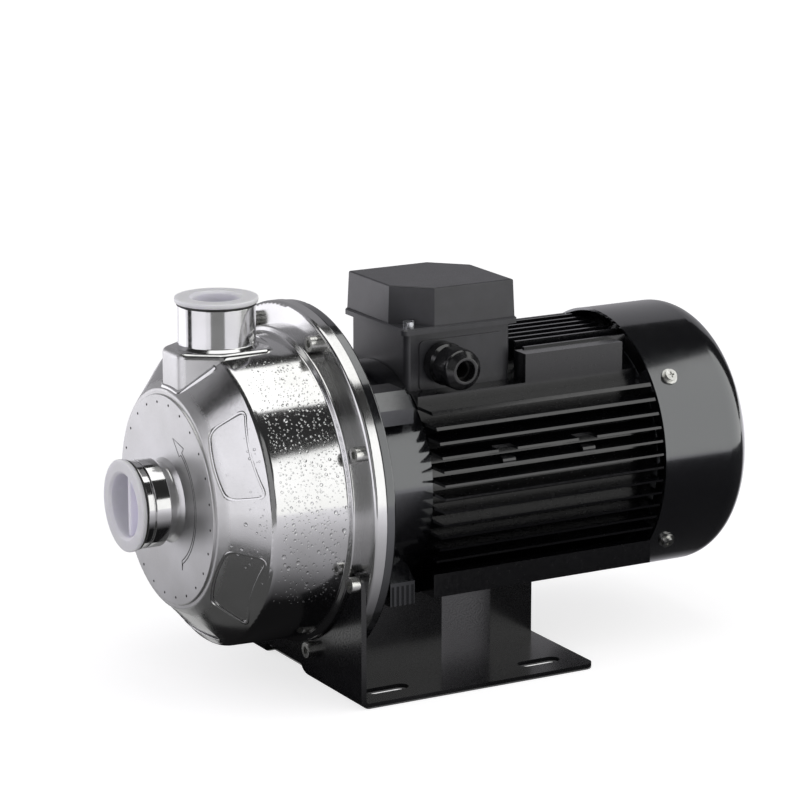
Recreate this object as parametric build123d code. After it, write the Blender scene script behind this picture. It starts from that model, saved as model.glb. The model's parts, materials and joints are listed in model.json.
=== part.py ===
"""Horizontal single-stage centrifugal pump with a pressed stainless casing, close-coupled to its motor.

Millimetres. X runs along the shaft from the suction port towards the fan, Y is across and Z is up.
The origin lies on the underside of the foot, in the middle of its four fixing slots.
Lengths along the shaft are measured from the front face of the casing flange, so x = 0 is that face.
"""
from build123d import *
from math import cos, radians, sin, sqrt, tan
import os

# Place of the casing flange: above the floor, and ahead of the middle of the foot's slots
FLANGE_TO_FLOOR = 4.0
FLANGE_TO_ORIGIN = 70.0

# Clearances
SEAT_GAP = 0.05  # between parts that only rest against each other
RUN_GAP = 0.04  # radial, between a turning shaft and what carries it
SLIDE_GAP = 0.3  # radial, between a plastic plug and its port
THREAD_GAP = 0.02  # radial, between a screw, nut or hub and what it is fitted to
SCREW_GAP = 0.25  # radial, between a flange screw and its clearance hole
PASS_GAP = 0.3  # between pieces that pass each other without touching
PAST = 1.0  # how far a cutter runs past what it cuts

# Pressed casing
SHEET = 2.0
SHELL_RADIUS = 84.0
FACE_X = -73.0
FACE_RADIUS = 57.0
SEAM_STEP = 1.2
SEAM_WIDTH = 2.6
SEAM_RISE = 0.4
CONE_LENGTH = 23.0
SHOULDER_STEP = 1.3
BEAD_X = -7.5
BEAD_RISE = 3.0
BEAD_RUN = 1.5
CONE_BEND = 1.5
SHOULDER_BEND = 5.0
BEAD_FOOT_BEND = 1.0
BEAD_BEND = 1.2
FLANGE_BEND = 2.2
FLANGE_WIDTH = 13.0
SKIRT_LENGTH = 6.8
PANEL_COUNT = 6
PANEL_ANGLE = 36.0
PANEL_INNER_MARGIN = 3.2
PANEL_OUTER_MARGIN = 6.2
PANEL_DEPTH = 0.9
PANEL_CORNER = 4.0
SHOULDER_X = FACE_X + CONE_LENGTH
SHOULDER_RADIUS = SHELL_RADIUS - SHOULDER_STEP
BEAD_RADIUS = SHELL_RADIUS + BEAD_RISE
FLANGE_RADIUS = BEAD_RADIUS + FLANGE_WIDTH
PANEL_INNER = FACE_RADIUS + PANEL_INNER_MARGIN
PANEL_OUTER = SHOULDER_RADIUS - PANEL_OUTER_MARGIN
AXIS_HEIGHT = FLANGE_RADIUS + FLANGE_TO_FLOOR

# Suction port, a 1 1/4 inch pipe thread
SUCTION_BORE = 19.5
SUCTION_COLLAR = 24.0
SUCTION_THROAT = 18.6
SUCTION_NECK = 20.3
SUCTION_FLARE = 2.8
SUCTION_LENGTH = 21.6
SUCTION_COLLAR_LENGTH = 13.6
SUCTION_GROOVE = 1.0
SUCTION_GROOVE_INSET = 3.8
SUCTION_THREAD_RUNOUT = 1.6
COLLAR_EDGE = 0.6
GROOVE_EDGE = 0.3
NECK_BEND = 1.0
FLARE_BEND = 2.4
SUCTION_TIP_X = FACE_X - SUCTION_LENGTH
SUCTION_COLLAR_REAR_X = SUCTION_TIP_X + SUCTION_COLLAR_LENGTH

# Discharge port, a 1 inch pipe thread, on its flat pad
DISCHARGE_X = -41.7
DISCHARGE_BORE = 15.2
DISCHARGE_RADIUS = 21.0
DISCHARGE_LENGTH = 22.4
DISCHARGE_WELD = 1.6
DISCHARGE_EDGE = 0.5
WELD_BEND = 0.6
PAD_DROP = 2.0
PAD_MARGIN = 3.5
PAD_REAR_LENGTH = 24.7
PAD_FRONT_LENGTH = 28.0
PAD_NOSE_HALF_WIDTH = 11.0
PAD_CORNER = 7.0
PAD_EDGE = 3.4
PAD_HALF_WIDTH = DISCHARGE_RADIUS + PAD_MARGIN
PAD_REAR_X = DISCHARGE_X + PAD_REAR_LENGTH
PAD_FRONT_X = DISCHARGE_X - PAD_FRONT_LENGTH
DISCHARGE_PAD_TOP = SHELL_RADIUS - PAD_DROP
DISCHARGE_TIP = DISCHARGE_PAD_TOP + DISCHARGE_LENGTH

# Transit plugs and their gaskets
PLUG_RIM_OVERHANG = 1.0
PLUG_RIM_THICKNESS = 2.8
PLUG_DEPTH = 11.0
PLUG_WALL = 2.0
PLUG_WEB = 3.0
PLUG_EDGE = 0.6
PLUG_BEND = 0.5
PLUG_FLOOR_BEND = 0.8
PLUG_DRAFT = 0.6
PLUG_LEAD = 1.5
PLUG_LEAD_DEPTH = 1.2
PLUG_WEB_DEPTH = 1.0
GASKET_THICKNESS = 1.2

# Screws that clamp casing, cover, foot and adapter
SCREW_EDGE = 8.0
SCREW_COUNT = 8
SCREW_RADIUS = 2.5
SCREW_HEAD_RADIUS = 4.25
SCREW_HEAD_HEIGHT = 5.0
SCREW_LENGTH = 12.0
SCREW_SOCKET = 4.0
SOCKET_DEPTH = 2.6
SCREW_CIRCLE = FLANGE_RADIUS - SCREW_EDGE

# Adapter flange between the wet end and the motor
ADAPTER_LENGTH = 9.0
ADAPTER_INSET = 0.6
ADAPTER_BORE = 32.0
ADAPTER_SPIGOT = 50.0
ADAPTER_SPIGOT_LENGTH = 3.0
ADAPTER_SCREW_CIRCLE = 42.0
ADAPTER_SCREW_RADIUS = 3.0
ADAPTER_SCREW_HEAD = 5.0
ADAPTER_SCREW_SUNK = 0.5
ADAPTER_SCREW_REACH = 12.0
ADAPTER_SOCKET = 5.0
ADAPTER_SCREW_ANGLES = (45, 135, 225, 315)
ADAPTER_EDGE = 1.2
ADAPTER_FRONT_EDGE = 0.8
SPIGOT_EDGE = 0.6
ADAPTER_PRESS_GAP = 0.03
ADAPTER_HOLE_GAP = 0.2
BACK_COVER_X = SHEET
ADAPTER_X = BACK_COVER_X + SHEET
ADAPTER_REAR_X = ADAPTER_X + ADAPTER_LENGTH
ADAPTER_RADIUS = FLANGE_RADIUS - ADAPTER_INSET

# Back cover, ring seal and shaft seal
COVER_SPIGOT_GAP = 1.5
COVER_SPIGOT_LENGTH = 6.5
COVER_SPIGOT_WALL = 5.0
COVER_SPIGOT_FOOT = 7.0
COVER_BEND = 1.0
COVER_RIM_EDGE = 0.9
SHAFT_HOLE_GAP = 1.5
SEAL_HUB_FLOOR = 2.0
SEAL_HUB_EDGE = 0.8
SEAL_SEAT_BORE_GAP = 1.2
SEAL_SEAT_NOSE = 2.0
SEAL_SEAT_STEP = 1.0
SEAL_SEAT_STEP_X = 2.2
SEAL_HEAD_X = 7.0
SEAL_HEAD_RADIUS = 13.5
SEAL_HEAD_LENGTH = 4.0
SEAL_BELLOWS_RADIUS = 11.5
SEAL_CASE_RADIUS = 13.0
SEAL_CASE_LENGTH = 4.0
SEAL_CARBON_RADIUS = 11.0
SEAL_CARBON_LENGTH = 1.5
SEAL_SLOPE = 1.0
SEAL_EDGE = 0.5
SEAL_HUB = 18.0
SEAL_SEAT_RADIUS = 13.0
SEAL_SEAT_X = -5.0
SEAL_FACE_X = -9.0
COVER_SPIGOT = SHELL_RADIUS - SHEET - COVER_SPIGOT_GAP

# Drive-end shield
SHIELD_RADIUS = 62.0
SHIELD_FLANGE = 65.0
SHIELD_FLANGE_GAP = 6.0
SHIELD_LENGTH = 38.0
SHIELD_WALL = 4.0
LUG_HALF_WIDTH = 65.5
LUG_FRONT_INSET = 5.0
LUG_REAR_INSET = 10.0
FOOT_LUG_INSET = 4.0
FOOT_LUG_RISE = 7.0
FOOT_LUG_SHELF = 8.0
FOOT_LUG_DEPTH = 5.0
FOOT_LUG_WIDTH = 35.5
FOOT_LUG_TOE = 21.5
FOOT_LUG_HEEL = 20.5
FOOT_LUG_HEEL_RISE = 9.0
FOOT_LUG_RIBS = 5
RIB_SLOT = 1.6
RIB_SLOT_HEIGHT = 12.0
RIB_SLOT_DEPTH = 3.0
UPPER_LUG_HALF_WIDTH = 57.0
UPPER_LUG_TOP = 56.5
UPPER_LUG_HEIGHT = 16.5
UPPER_LUG_WIDTH = 27.0
UPPER_LUG_ROOT = 19.0
UPPER_LUG_DROP = 8.0
UPPER_LUG_CUT = 9.5
UPPER_LUG_HEEL = 11.5
SHIELD_FLANGE_X = ADAPTER_REAR_X + SHIELD_FLANGE_GAP
HOUSING_FRONT_X = SHIELD_FLANGE_X + SHIELD_LENGTH
LUG_FRONT_X = SHIELD_FLANGE_X + LUG_FRONT_INSET
LUG_REAR_X = HOUSING_FRONT_X - LUG_REAR_INSET
FOOT_LUG_FRONT_X = LUG_FRONT_X + FOOT_LUG_INSET
FOOT_LUG_REAR_X = LUG_REAR_X - FOOT_LUG_INSET

# Finned motor frame
HOUSING_LENGTH = 140.0
HOUSING_CORE = 58.0
HOUSING_BORE = 52.0
FIN_TIP_RADIUS = 74.5
FIN_TOP = 69.0
FIN_BOSS_PLACES = (41.0, 92.0)
FIN_BOSS_LENGTH = 12.0
FIN_BOSS_ROW = 4
FIN_THICKNESS = 1.9
FIN_TIP_THICKNESS = 1.2
SIDE_FIN_PITCH = 7.4
SIDE_FIN_COUNT = 12
SIDE_FIN_HIGHEST = 44.4
TOP_FIN_PITCH = 9.0
TOP_FIN_COUNT = 8
END_SCREW_RADIUS = 2.0
END_SCREW_REACH = 12.0
END_SCREW_HEAD = 3.5
END_SCREW_HEAD_HEIGHT = 3.0
END_SCREW_SOCKET = 2.5
END_SCREW_SOCKET_DEPTH = 1.6
END_SCREW_ANGLES = (0, 90, 180, 270)
REAR_SHIELD_PLATE = 5.0
RAIL_HALF_WIDTH = 62.0
RAIL_TOP = -45.0
RAIL_HEIGHT = 13.0
RAIL_THICKNESS = 7.0
SADDLE_TOP = 50.5
SADDLE_HALF_WIDTH = 44.0
SADDLE_MARGIN = 7.0
PLATE_PAD_LENGTH = 63.0
PLATE_PAD_INSET = 9.0
PLATE_PAD_FACE = 44.0
PLATE_PAD_TOP = 66.5
HOUSING_REAR_X = HOUSING_FRONT_X + HOUSING_LENGTH
FIN_BOSS_X = [HOUSING_FRONT_X + place for place in FIN_BOSS_PLACES]
RAIL_BOTTOM = RAIL_TOP - RAIL_HEIGHT
PLATE_PAD_END_X = HOUSING_REAR_X - PLATE_PAD_INSET
PLATE_PAD_X = PLATE_PAD_END_X - PLATE_PAD_LENGTH

# Fan and fan cover
COVER_GAP = 1.0
COVER_LENGTH = 61.0
COVER_OVERHANG = 0.9
COVER_SHOULDER = 17.0
COVER_SHEET = 1.4
COVER_SCREW_INSET = 11.5
COVER_SCREW_ANGLE = 38.5
COVER_SCREW_RADIUS = 1.95
COVER_SCREW_REACH = 9.0
COVER_SCREW_HEAD = 3.4
COVER_SCREW_HEAD_HEIGHT = 2.2
COVER_SCREW_CROSS = 3.6
COVER_SCREW_CROSS_WIDTH = 0.9
COVER_SCREW_CROSS_DEPTH = 1.4
COVER_SCREW_HOLE = 2.3
COVER_SCREW_TAPPED = 2.0
COVER_SCREW_CUT = 24.0
COVER_WASHER = 4.6
COVER_WASHER_THICKNESS = 1.0
COVER_WASHER_LIFT = 0.1
GRILLE_HUB = 15.0
GRILLE_SLOT = 4.0
GRILLE_PITCH = 7.5
GRILLE_SPOKES = 6
GRILLE_SPOKE_WIDTH = 5.0
FAN_RADIUS = 58.0
FAN_INSET = 18.0
FAN_BLADES = 7
FAN_WIDTH = 22.0
COVER_FRONT_X = HOUSING_REAR_X + COVER_GAP
COVER_REAR_X = COVER_FRONT_X + COVER_LENGTH
COVER_SCREW_X = COVER_FRONT_X + COVER_SCREW_INSET
COVER_RADIUS = FIN_TIP_RADIUS + COVER_OVERHANG
COVER_BORE = COVER_RADIUS - COVER_SHEET
FAN_X = COVER_FRONT_X + FAN_INSET

# Shaft and bearings
SHAFT_RADIUS = 11.0
FRONT_JOURNAL = 10.0
REAR_JOURNAL = 8.5
WET_JOURNAL = 8.0
IMPELLER_JOURNAL = 7.0
SHAFT_THREAD = 5.0
FAN_JOURNAL = 7.0
FRONT_BEARING_RADIUS = 23.5
FRONT_BEARING_INSET = 11.0
FRONT_BEARING_WIDTH = 14.0
REAR_BEARING_RADIUS = 20.0
REAR_BEARING_INSET = 11.0
REAR_BEARING_WIDTH = 12.0
SHAFT_REAR_X = FAN_X + FAN_WIDTH
FRONT_BEARING_X = SHIELD_FLANGE_X + FRONT_BEARING_INSET
REAR_BEARING_X = HOUSING_REAR_X - REAR_BEARING_INSET

# Stator and rotor stacks
STACK_FRONT_INSET = 27.0
STACK_REAR_INSET = 33.0
STACK_BORE = 31.0
ROTOR_AIR_GAP = 0.4
SLOT_COUNT = 24
SLOT_DEPTH = 11.0
SLOT_WIDTH = 4.2
COIL_OVERHANG = 17.0
STACK_FRONT_X = HOUSING_FRONT_X + STACK_FRONT_INSET
STACK_REAR_X = HOUSING_REAR_X - STACK_REAR_INSET

# Impeller
IMPELLER_RADIUS = 62.0
IMPELLER_EYE = 21.5
VANE_COUNT = 6
VANE_THICKNESS = 2.0
VANE_WRAP = 95.0
SHROUD_THICKNESS = 1.5
REAR_SHROUD_X = -31.5
OUTLET_WIDTH = 8.0
EYE_WIDTH = 15.0
EYE_LIP = 8.0
HUB_RADIUS = 13.0
HUB_FRONT = 5.0
KEY_WIDTH = 4.0
KEY_HEIGHT = 1.6
NUT_FLATS = 17.0
NUT_HEIGHT = 7.0
WASHER_THICKNESS = 1.5
WEAR_GAP = 0.4
IMPELLER_FRONT_X = REAR_SHROUD_X - SHROUD_THICKNESS - EYE_WIDTH
EYE_LIP_X = IMPELLER_FRONT_X - EYE_LIP
WASHER_X = EYE_LIP_X + HUB_FRONT

# Terminal box
BOX_HALF_LENGTH = 33.0
BOX_HALF_WIDTH = 31.0
BOX_WALL = 2.6
BOX_PANEL = 0.7
BOX_BASE_TOP = 81.5
LID_LIP = 3.4
LID_OVERHANG = 3.2
LID_TOP = 106.7
LID_CHAMFER = 18.5
LID_DRAFT = 2.0
LID_INSET = 1.6
LID_GASKET = 0.8
LID_SCREW_INSET = 3.9
LID_SCREW_RADIUS = 1.6
LID_SCREW_HOLE = 2.0
LID_SCREW_HEAD = 3.2
LID_SCREW_HEAD_HEIGHT = 3.0
LID_SCREW_REACH = 10.0
LID_SCREW_TAPPED = 12.0
LID_SCREW_SLOT = 0.9
LID_SCREW_SLOT_DEPTH = 1.1
LID_EDGE = 0.8
CROWN_EDGE = 1.0
BOX_CORNER = 3.0
BOX_INNER_CORNER = 2.0
BOX_PANEL_INSET = 3.5
BOX_PANEL_SHORTER = 13.0
BOX_PANEL_OFFSET = 1.5
GASKET_SHELF = 4.0
STUD_RADIUS = 2.0
STUD_HEIGHT = 8.0
GLAND_OFFSET = -11.0
GLAND_Z = 65.0
GLAND_BORE = 4.6
GLAND_THREAD = 10.0
GLAND_COLLAR_RADIUS = 11.8
GLAND_NUT_RADIUS = 11.3
GLAND_SLEEVE = 9.0
GLAND_COLLAR = 10.0
GLAND_SLEEVE_END = 21.0
GLAND_END = 27.0
GLAND_WALL = 3.0
GLAND_TAIL = 3.0
GLAND_SHOULDER = 1.2
GLAND_SHOULDER_LENGTH = 2.5
GLAND_MOUTH_GAP = 1.0
GLAND_MOUTH_RIM = 1.8
GLAND_DOME = 3.6
GLAND_FLAT_LENGTH = 10.0
GLAND_FLAT_DEPTH = 0.6
GLAND_FLATS = 6
BLOCK_OFFSET = 13.0
BLOCK_LENGTH = 24.0
BLOCK_WIDTH = 44.0
BLOCK_HEIGHT = 12.0
BLOCK_LIFT = 1.5
WIRE_HOLE_OFFSET = -16.0
WIRE_HOLE = 8.0
BOX_X = HOUSING_FRONT_X + BOX_HALF_LENGTH
GLAND_X = BOX_X + GLAND_OFFSET
BLOCK_X = BOX_X + BLOCK_OFFSET
WIRE_HOLE_X = BOX_X + WIRE_HOLE_OFFSET
SADDLE_REAR_X = BOX_X + BOX_HALF_LENGTH + SADDLE_MARGIN
BOX_PLACE = Pos(BOX_X, 0)
BLOCK_SEAT = HOUSING_CORE + BOX_WALL + BLOCK_LIFT
LID_BOTTOM = BOX_BASE_TOP + LID_GASKET
LIP_TOP = LID_BOTTOM + LID_LIP

# Foot
FOOT_SHEET = 3.0
FOOT_SIDE_INSET = 10.5
FOOT_EAR_TOP = -29.5
FOOT_CORNER = 6.0
FOOT_EAR_CORNER = 4.0
SLOT_SPACING_X = 96.0
SLOT_SPACING_Y = 144.0
SLOT_HALF_WIDTH = 4.5
SLOT_LENGTH = 26.0
SLOT_TO_FOOT_END = 26.0
FOOT_BEND = 5.0
NOTCH_HALF_WIDTH = 26.0
NOTCH_HEIGHT = 7.0
NOTCH_SLOPE = 6.0
FRONT_SUPPORT_GAP = 1.0
FRONT_SUPPORT_REACH = 13.0
FRONT_SUPPORT_HALF_WIDTH = 48.0
FRONT_BOLT_INSET = 5.0
REAR_SUPPORT_LENGTH = 27.0
REAR_SUPPORT_INSET = 4.0
REAR_SUPPORT_HALF_WIDTH = 28.0
REAR_BOLT_INSET = 15.0
SUPPORT_BOLT_Y = 20.0
SUPPORT_BOLT_RADIUS = 2.5
SUPPORT_BOLT_FLATS = 8.0
SUPPORT_BOLT_HEAD = 3.5
SUPPORT_BOLT_REACH = 5.0
SUPPORT_HOLE_DEPTH = 6.0
FOOT_HALF_WIDTH = FLANGE_RADIUS - FOOT_SIDE_INSET
FOOT_REAR_X = FLANGE_TO_ORIGIN + SLOT_SPACING_X / 2 + SLOT_TO_FOOT_END
FRONT_SUPPORT_X = ADAPTER_REAR_X + FRONT_SUPPORT_GAP
FRONT_SUPPORT_REAR_X = HOUSING_FRONT_X + FRONT_SUPPORT_REACH
FRONT_BOLT_X = HOUSING_FRONT_X + FRONT_BOLT_INSET
REAR_SUPPORT_REAR_X = FOOT_REAR_X - REAR_SUPPORT_INSET
REAR_SUPPORT_X = REAR_SUPPORT_REAR_X - REAR_SUPPORT_LENGTH
REAR_BOLT_X = REAR_SUPPORT_X + REAR_BOLT_INSET

# Shaft line and floor
SHAFT_LINE = Pos(-FLANGE_TO_ORIGIN, 0, AXIS_HEIGHT)
FLOOR = -AXIS_HEIGHT
SHEET_TOP = FLOOR + FOOT_SHEET


# Helpers

def turned(*corners):
    """Solid of revolution about the shaft line from corners (x, radius, fillet radius)."""
    points = [(corner[0], corner[1]) for corner in corners]
    fillets = [corner[2] if len(corner) > 2 else 0 for corner in corners]
    outline = FilletPolyline(*points, radius=fillets, close=True)
    return SHAFT_LINE * revolve(make_face(outline.edges()), Axis.X, 360)


def ring(x_front, x_rear, outer, inner=0.0, edge=0.0):
    """Plain ring or disc on the shaft line, with rounded outer edges if edge is given."""
    return turned((x_front, inner), (x_front, outer, edge), (x_rear, outer, edge), (x_rear, inner))


def across(sketch, x_front, x_rear):
    """Extrude a sketch drawn in (y, z) about the shaft line from x_front to x_rear."""
    plane = Plane(origin=(0, 0, 0), x_dir=(0, 1, 0), z_dir=(1, 0, 0))
    return SHAFT_LINE * Pos(x_front, 0, 0) * extrude(plane * sketch, x_rear - x_front)


def upward(sketch, z_low, z_high):
    """Extrude a sketch drawn in (x, y) from z_low to z_high above the shaft line."""
    return SHAFT_LINE * Pos(0, 0, z_low) * extrude(sketch, z_high - z_low)


def around(part, count, first=0.0):
    """Copies of a part turned about the shaft line at equal angles."""
    step = 360 / count
    turns = [SHAFT_LINE * Rot(first + step * i, 0, 0) * SHAFT_LINE.inverse() for i in range(count)]
    return [turn * part for turn in turns]


def rounded(length, width, radius):
    """Rectangle with rounded corners."""
    return RectangleRounded(length, width, radius)


def screw_places():
    """Angles of the flange screws from the top, half a step off it."""
    step = 360 / SCREW_COUNT
    return [step / 2 + step * i for i in range(SCREW_COUNT)]


def on_circle(part, radius, angles):
    """Copies of a part at a radius from the shaft line, at angles measured from the top."""
    return [SHAFT_LINE * Rot(angle, 0, 0) * Pos(0, 0, radius) * part for angle in angles]


def rod(x_front, x_rear, radius):
    """Cylinder along X between two places, on its own centre line."""
    return Pos((x_front + x_rear) / 2, 0, 0) * Rot(0, 90, 0) * Cylinder(radius, x_rear - x_front)


def hexagon_rod(x_front, x_rear, across_flats):
    """Hexagonal bar along X."""
    hexagon = RegularPolygon(across_flats / 2, 6, major_radius=False)
    plane = Plane(origin=(x_front, 0, 0), x_dir=(0, 1, 0), z_dir=(1, 0, 0))
    return extrude(plane * hexagon, x_rear - x_front)


def screw_holes(x_front, x_rear, gap):
    """Cutters for the flange screws."""
    return on_circle(rod(x_front, x_rear, SCREW_RADIUS + gap), SCREW_CIRCLE, screw_places())


# Pressed casing

def casing_profile():
    """Closed outline of the outer pressing, running past the axis and past the open end."""
    margin = 30.0
    below_axis = -margin
    past_end = SKIRT_LENGTH + margin
    seam_x = FACE_X + SEAM_STEP
    corners = [
        (FACE_X, below_axis, 0),
        (FACE_X, FACE_RADIUS, SEAM_STEP / 2),
        (seam_x, FACE_RADIUS + SEAM_RISE, 0),
        (seam_x, FACE_RADIUS + SEAM_WIDTH, CONE_BEND),
        (SHOULDER_X, SHOULDER_RADIUS, SHOULDER_BEND),
        (BEAD_X, SHELL_RADIUS, BEAD_FOOT_BEND),
        (BEAD_X + BEAD_RUN, BEAD_RADIUS, BEAD_BEND),
        (0, BEAD_RADIUS, 0),
        (0, FLANGE_RADIUS, FLANGE_BEND),
        (past_end, FLANGE_RADIUS, 0),
        (past_end, below_axis, 0),
    ]
    points = [(x, r) for x, r, fillet in corners]
    outline = FilletPolyline(*points, radius=[fillet for x, r, fillet in corners], close=True)
    return make_face(outline.edges())


def keep_casing_length(face):
    """Trim a profile face to the half above the axis and to the end of the skirt."""
    margin = 40.0
    length = SKIRT_LENGTH - FACE_X + margin
    window = Pos(SKIRT_LENGTH - length / 2, length / 2) * Rectangle(length, length)
    return face & window


def pad_plan(grow):
    """Plan of the pressing under the discharge tube, drawn in by grow."""
    half = PAD_HALF_WIDTH - grow
    nose = PAD_NOSE_HALF_WIDTH - grow / 2
    far_side = [(PAD_REAR_X - grow, half), (SHOULDER_X, half), (PAD_FRONT_X + grow, nose)]
    near_side = [(x, -y) for x, y in reversed(far_side)]
    plan = Polygon(*far_side, *near_side, align=None)
    return fillet(plan.vertices(), PAD_CORNER)


def discharge_pad(grow):
    """Flat-topped pressing that lifts the casing under the discharge tube."""
    block = upward(pad_plan(grow), SHELL_RADIUS / 2, DISCHARGE_PAD_TOP - grow)
    rim = block.faces().sort_by(Axis.Z)[-1].edges()
    return fillet(rim, PAD_EDGE - grow)


def above_pad(grow):
    """The crown of the round shell over the pad, with a rounded step at its rear."""
    length = PAD_REAR_X - FACE_X - grow
    place = Pos(FACE_X + length / 2, 0)
    crown = place * Rectangle(length, 2 * PAD_HALF_WIDTH)
    block = upward(crown, DISCHARGE_PAD_TOP - grow, SHELL_RADIUS + PAST)
    rear_foot = block.edges().filter_by(Axis.Y).group_by(Axis.Z)[0].sort_by(Axis.X)[-1]
    return fillet(rear_foot, PAD_DROP)


def with_pad(form, grow):
    """Turned form of the casing with the pad pressed out of its cone and its crown flattened."""
    return form + discharge_pad(grow) - above_pad(grow)


def panel_cutters(skin):
    """Shallow keystone recesses pressed into the cone, leaving out the one under the discharge."""
    half = PANEL_ANGLE / 2
    inner_half = PANEL_INNER * tan(radians(half))
    outer_half = PANEL_OUTER * tan(radians(half))
    keystone = FilletPolyline(
        (-inner_half, PANEL_INNER),
        (-outer_half, PANEL_OUTER),
        (outer_half, PANEL_OUTER),
        (inner_half, PANEL_INNER),
        radius=PANEL_CORNER,
        close=True,
    )
    wedge = across(make_face(keystone.edges()), FACE_X - 5 * PAST, SHOULDER_X + 5 * PAST)
    step = 360 / PANEL_COUNT
    cutters = []
    for i in range(1, PANEL_COUNT):
        turn = SHAFT_LINE * Rot(step * i, 0, 0) * SHAFT_LINE.inverse()
        cutters.append((turn * wedge) - skin)
    return cutters


def pump_casing():
    """Deep-drawn casing: face disc, cone with keystone panels, shell, bead and flange with its skirt."""
    profile = casing_profile()
    outer = SHAFT_LINE * revolve(keep_casing_length(profile), Axis.X, 360)
    lining = keep_casing_length(offset(profile, -SHEET))
    inner = SHAFT_LINE * revolve(lining, Axis.X, 360)
    recess_floor = keep_casing_length(offset(profile, -PANEL_DEPTH))
    skin = SHAFT_LINE * revolve(recess_floor, Axis.X, 360)
    body = with_pad(outer, 0)
    for cutter in panel_cutters(skin):
        body -= cutter
    body -= with_pad(inner, SHEET)
    body -= ring(FACE_X - PAST, FACE_X + SHEET + PAST, SUCTION_BORE)
    body -= upward(Pos(DISCHARGE_X, 0) * Circle(DISCHARGE_BORE), SHELL_RADIUS / 2, DISCHARGE_PAD_TOP + PAST)
    for hole in screw_holes(-PAST, SHEET + PAST, SCREW_GAP):
        body -= hole
    return body


def suction_port():
    """Turned suction socket with a grooved collar, welded to the face disc with a flared foot."""
    groove_x = SUCTION_TIP_X + SUCTION_GROOVE_INSET
    groove_end_x = groove_x + SUCTION_GROOVE
    groove_floor = SUCTION_COLLAR - SUCTION_GROOVE
    thread_end_x = SUCTION_COLLAR_REAR_X - SUCTION_THREAD_RUNOUT
    return turned(
        (SUCTION_TIP_X, SUCTION_BORE),
        (SUCTION_TIP_X, SUCTION_COLLAR, COLLAR_EDGE),
        (groove_x, SUCTION_COLLAR, GROOVE_EDGE),
        (groove_x, groove_floor),
        (groove_end_x, groove_floor),
        (groove_end_x, SUCTION_COLLAR, GROOVE_EDGE),
        (SUCTION_COLLAR_REAR_X, SUCTION_COLLAR, COLLAR_EDGE),
        (SUCTION_COLLAR_REAR_X, SUCTION_NECK, NECK_BEND),
        (FACE_X - SUCTION_FLARE, SUCTION_NECK, FLARE_BEND),
        (FACE_X, SUCTION_NECK + SUCTION_FLARE),
        (FACE_X, SUCTION_THROAT),
        (thread_end_x, SUCTION_THROAT),
        (thread_end_x, SUCTION_BORE),
    )


def discharge_port():
    """Discharge tube standing on its pad, with the weld bead around its foot."""
    weld = DISCHARGE_WELD
    outline = FilletPolyline(
        (DISCHARGE_BORE, DISCHARGE_PAD_TOP),
        (DISCHARGE_RADIUS + weld, DISCHARGE_PAD_TOP),
        (DISCHARGE_RADIUS, DISCHARGE_PAD_TOP + weld),
        (DISCHARGE_RADIUS, DISCHARGE_TIP),
        (DISCHARGE_BORE, DISCHARGE_TIP),
        radius=[0, 0, WELD_BEND, DISCHARGE_EDGE, 0],
        close=True,
    )
    return SHAFT_LINE * Pos(DISCHARGE_X, 0, 0) * revolve(Plane.XZ * make_face(outline.edges()), Axis.Z, 360)


# Transit plugs

def plug(bore, rim):
    """Plastic transit plug standing on z = 0, its skirt going down into the port."""
    skirt = bore - SLIDE_GAP
    recess = skirt - PLUG_WALL
    outline = FilletPolyline(
        (0, -PLUG_DEPTH),
        (skirt - PLUG_DRAFT, -PLUG_DEPTH),
        (skirt, 0),
        (rim, 0),
        (rim, PLUG_RIM_THICKNESS),
        (recess + PLUG_LEAD, PLUG_RIM_THICKNESS),
        (recess, PLUG_RIM_THICKNESS - PLUG_LEAD_DEPTH),
        (recess - PLUG_DRAFT, PLUG_WALL - PLUG_DEPTH),
        (0, PLUG_WALL - PLUG_DEPTH),
        radius=[0, PLUG_EDGE, 0, PLUG_EDGE, PLUG_EDGE, PLUG_BEND, PLUG_BEND, PLUG_FLOOR_BEND, 0],
        close=True,
    )
    cap = revolve(Plane.XZ * make_face(outline.edges()), Axis.Z, 360)
    web_low = PLUG_WALL / 2 - PLUG_DEPTH
    web_height = -PLUG_WEB_DEPTH - web_low
    web = Box(2 * recess + PLUG_WALL, PLUG_WEB, web_height, align=(Align.CENTER, Align.CENTER, Align.MIN))
    return cap + Pos(0, 0, web_low) * web


def gasket(bore, rim):
    """Flat rubber ring standing on z = 0."""
    outline = Circle(rim) - Circle(bore)
    return extrude(outline, GASKET_THICKNESS)


def suction_seat():
    """Place of the suction plug's gasket: z points out of the port."""
    return SHAFT_LINE * Pos(SUCTION_TIP_X, 0, 0) * Rot(0, -90, 0)


def discharge_seat():
    """Place of the discharge plug's gasket."""
    return SHAFT_LINE * Pos(DISCHARGE_X, 0, DISCHARGE_TIP)


def suction_plug():
    rim = SUCTION_COLLAR + PLUG_RIM_OVERHANG
    return suction_seat() * Pos(0, 0, GASKET_THICKNESS) * plug(SUCTION_BORE, rim)


def suction_plug_gasket():
    return suction_seat() * gasket(SUCTION_BORE, SUCTION_COLLAR + PLUG_RIM_OVERHANG / 2)


def discharge_plug():
    rim = DISCHARGE_RADIUS + 1.5 * PLUG_RIM_OVERHANG
    return discharge_seat() * Pos(0, 0, GASKET_THICKNESS) * plug(DISCHARGE_BORE, rim)


def discharge_plug_gasket():
    return discharge_seat() * gasket(DISCHARGE_BORE, DISCHARGE_RADIUS + PLUG_RIM_OVERHANG / 2)


# Cover, seal and adapter

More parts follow.
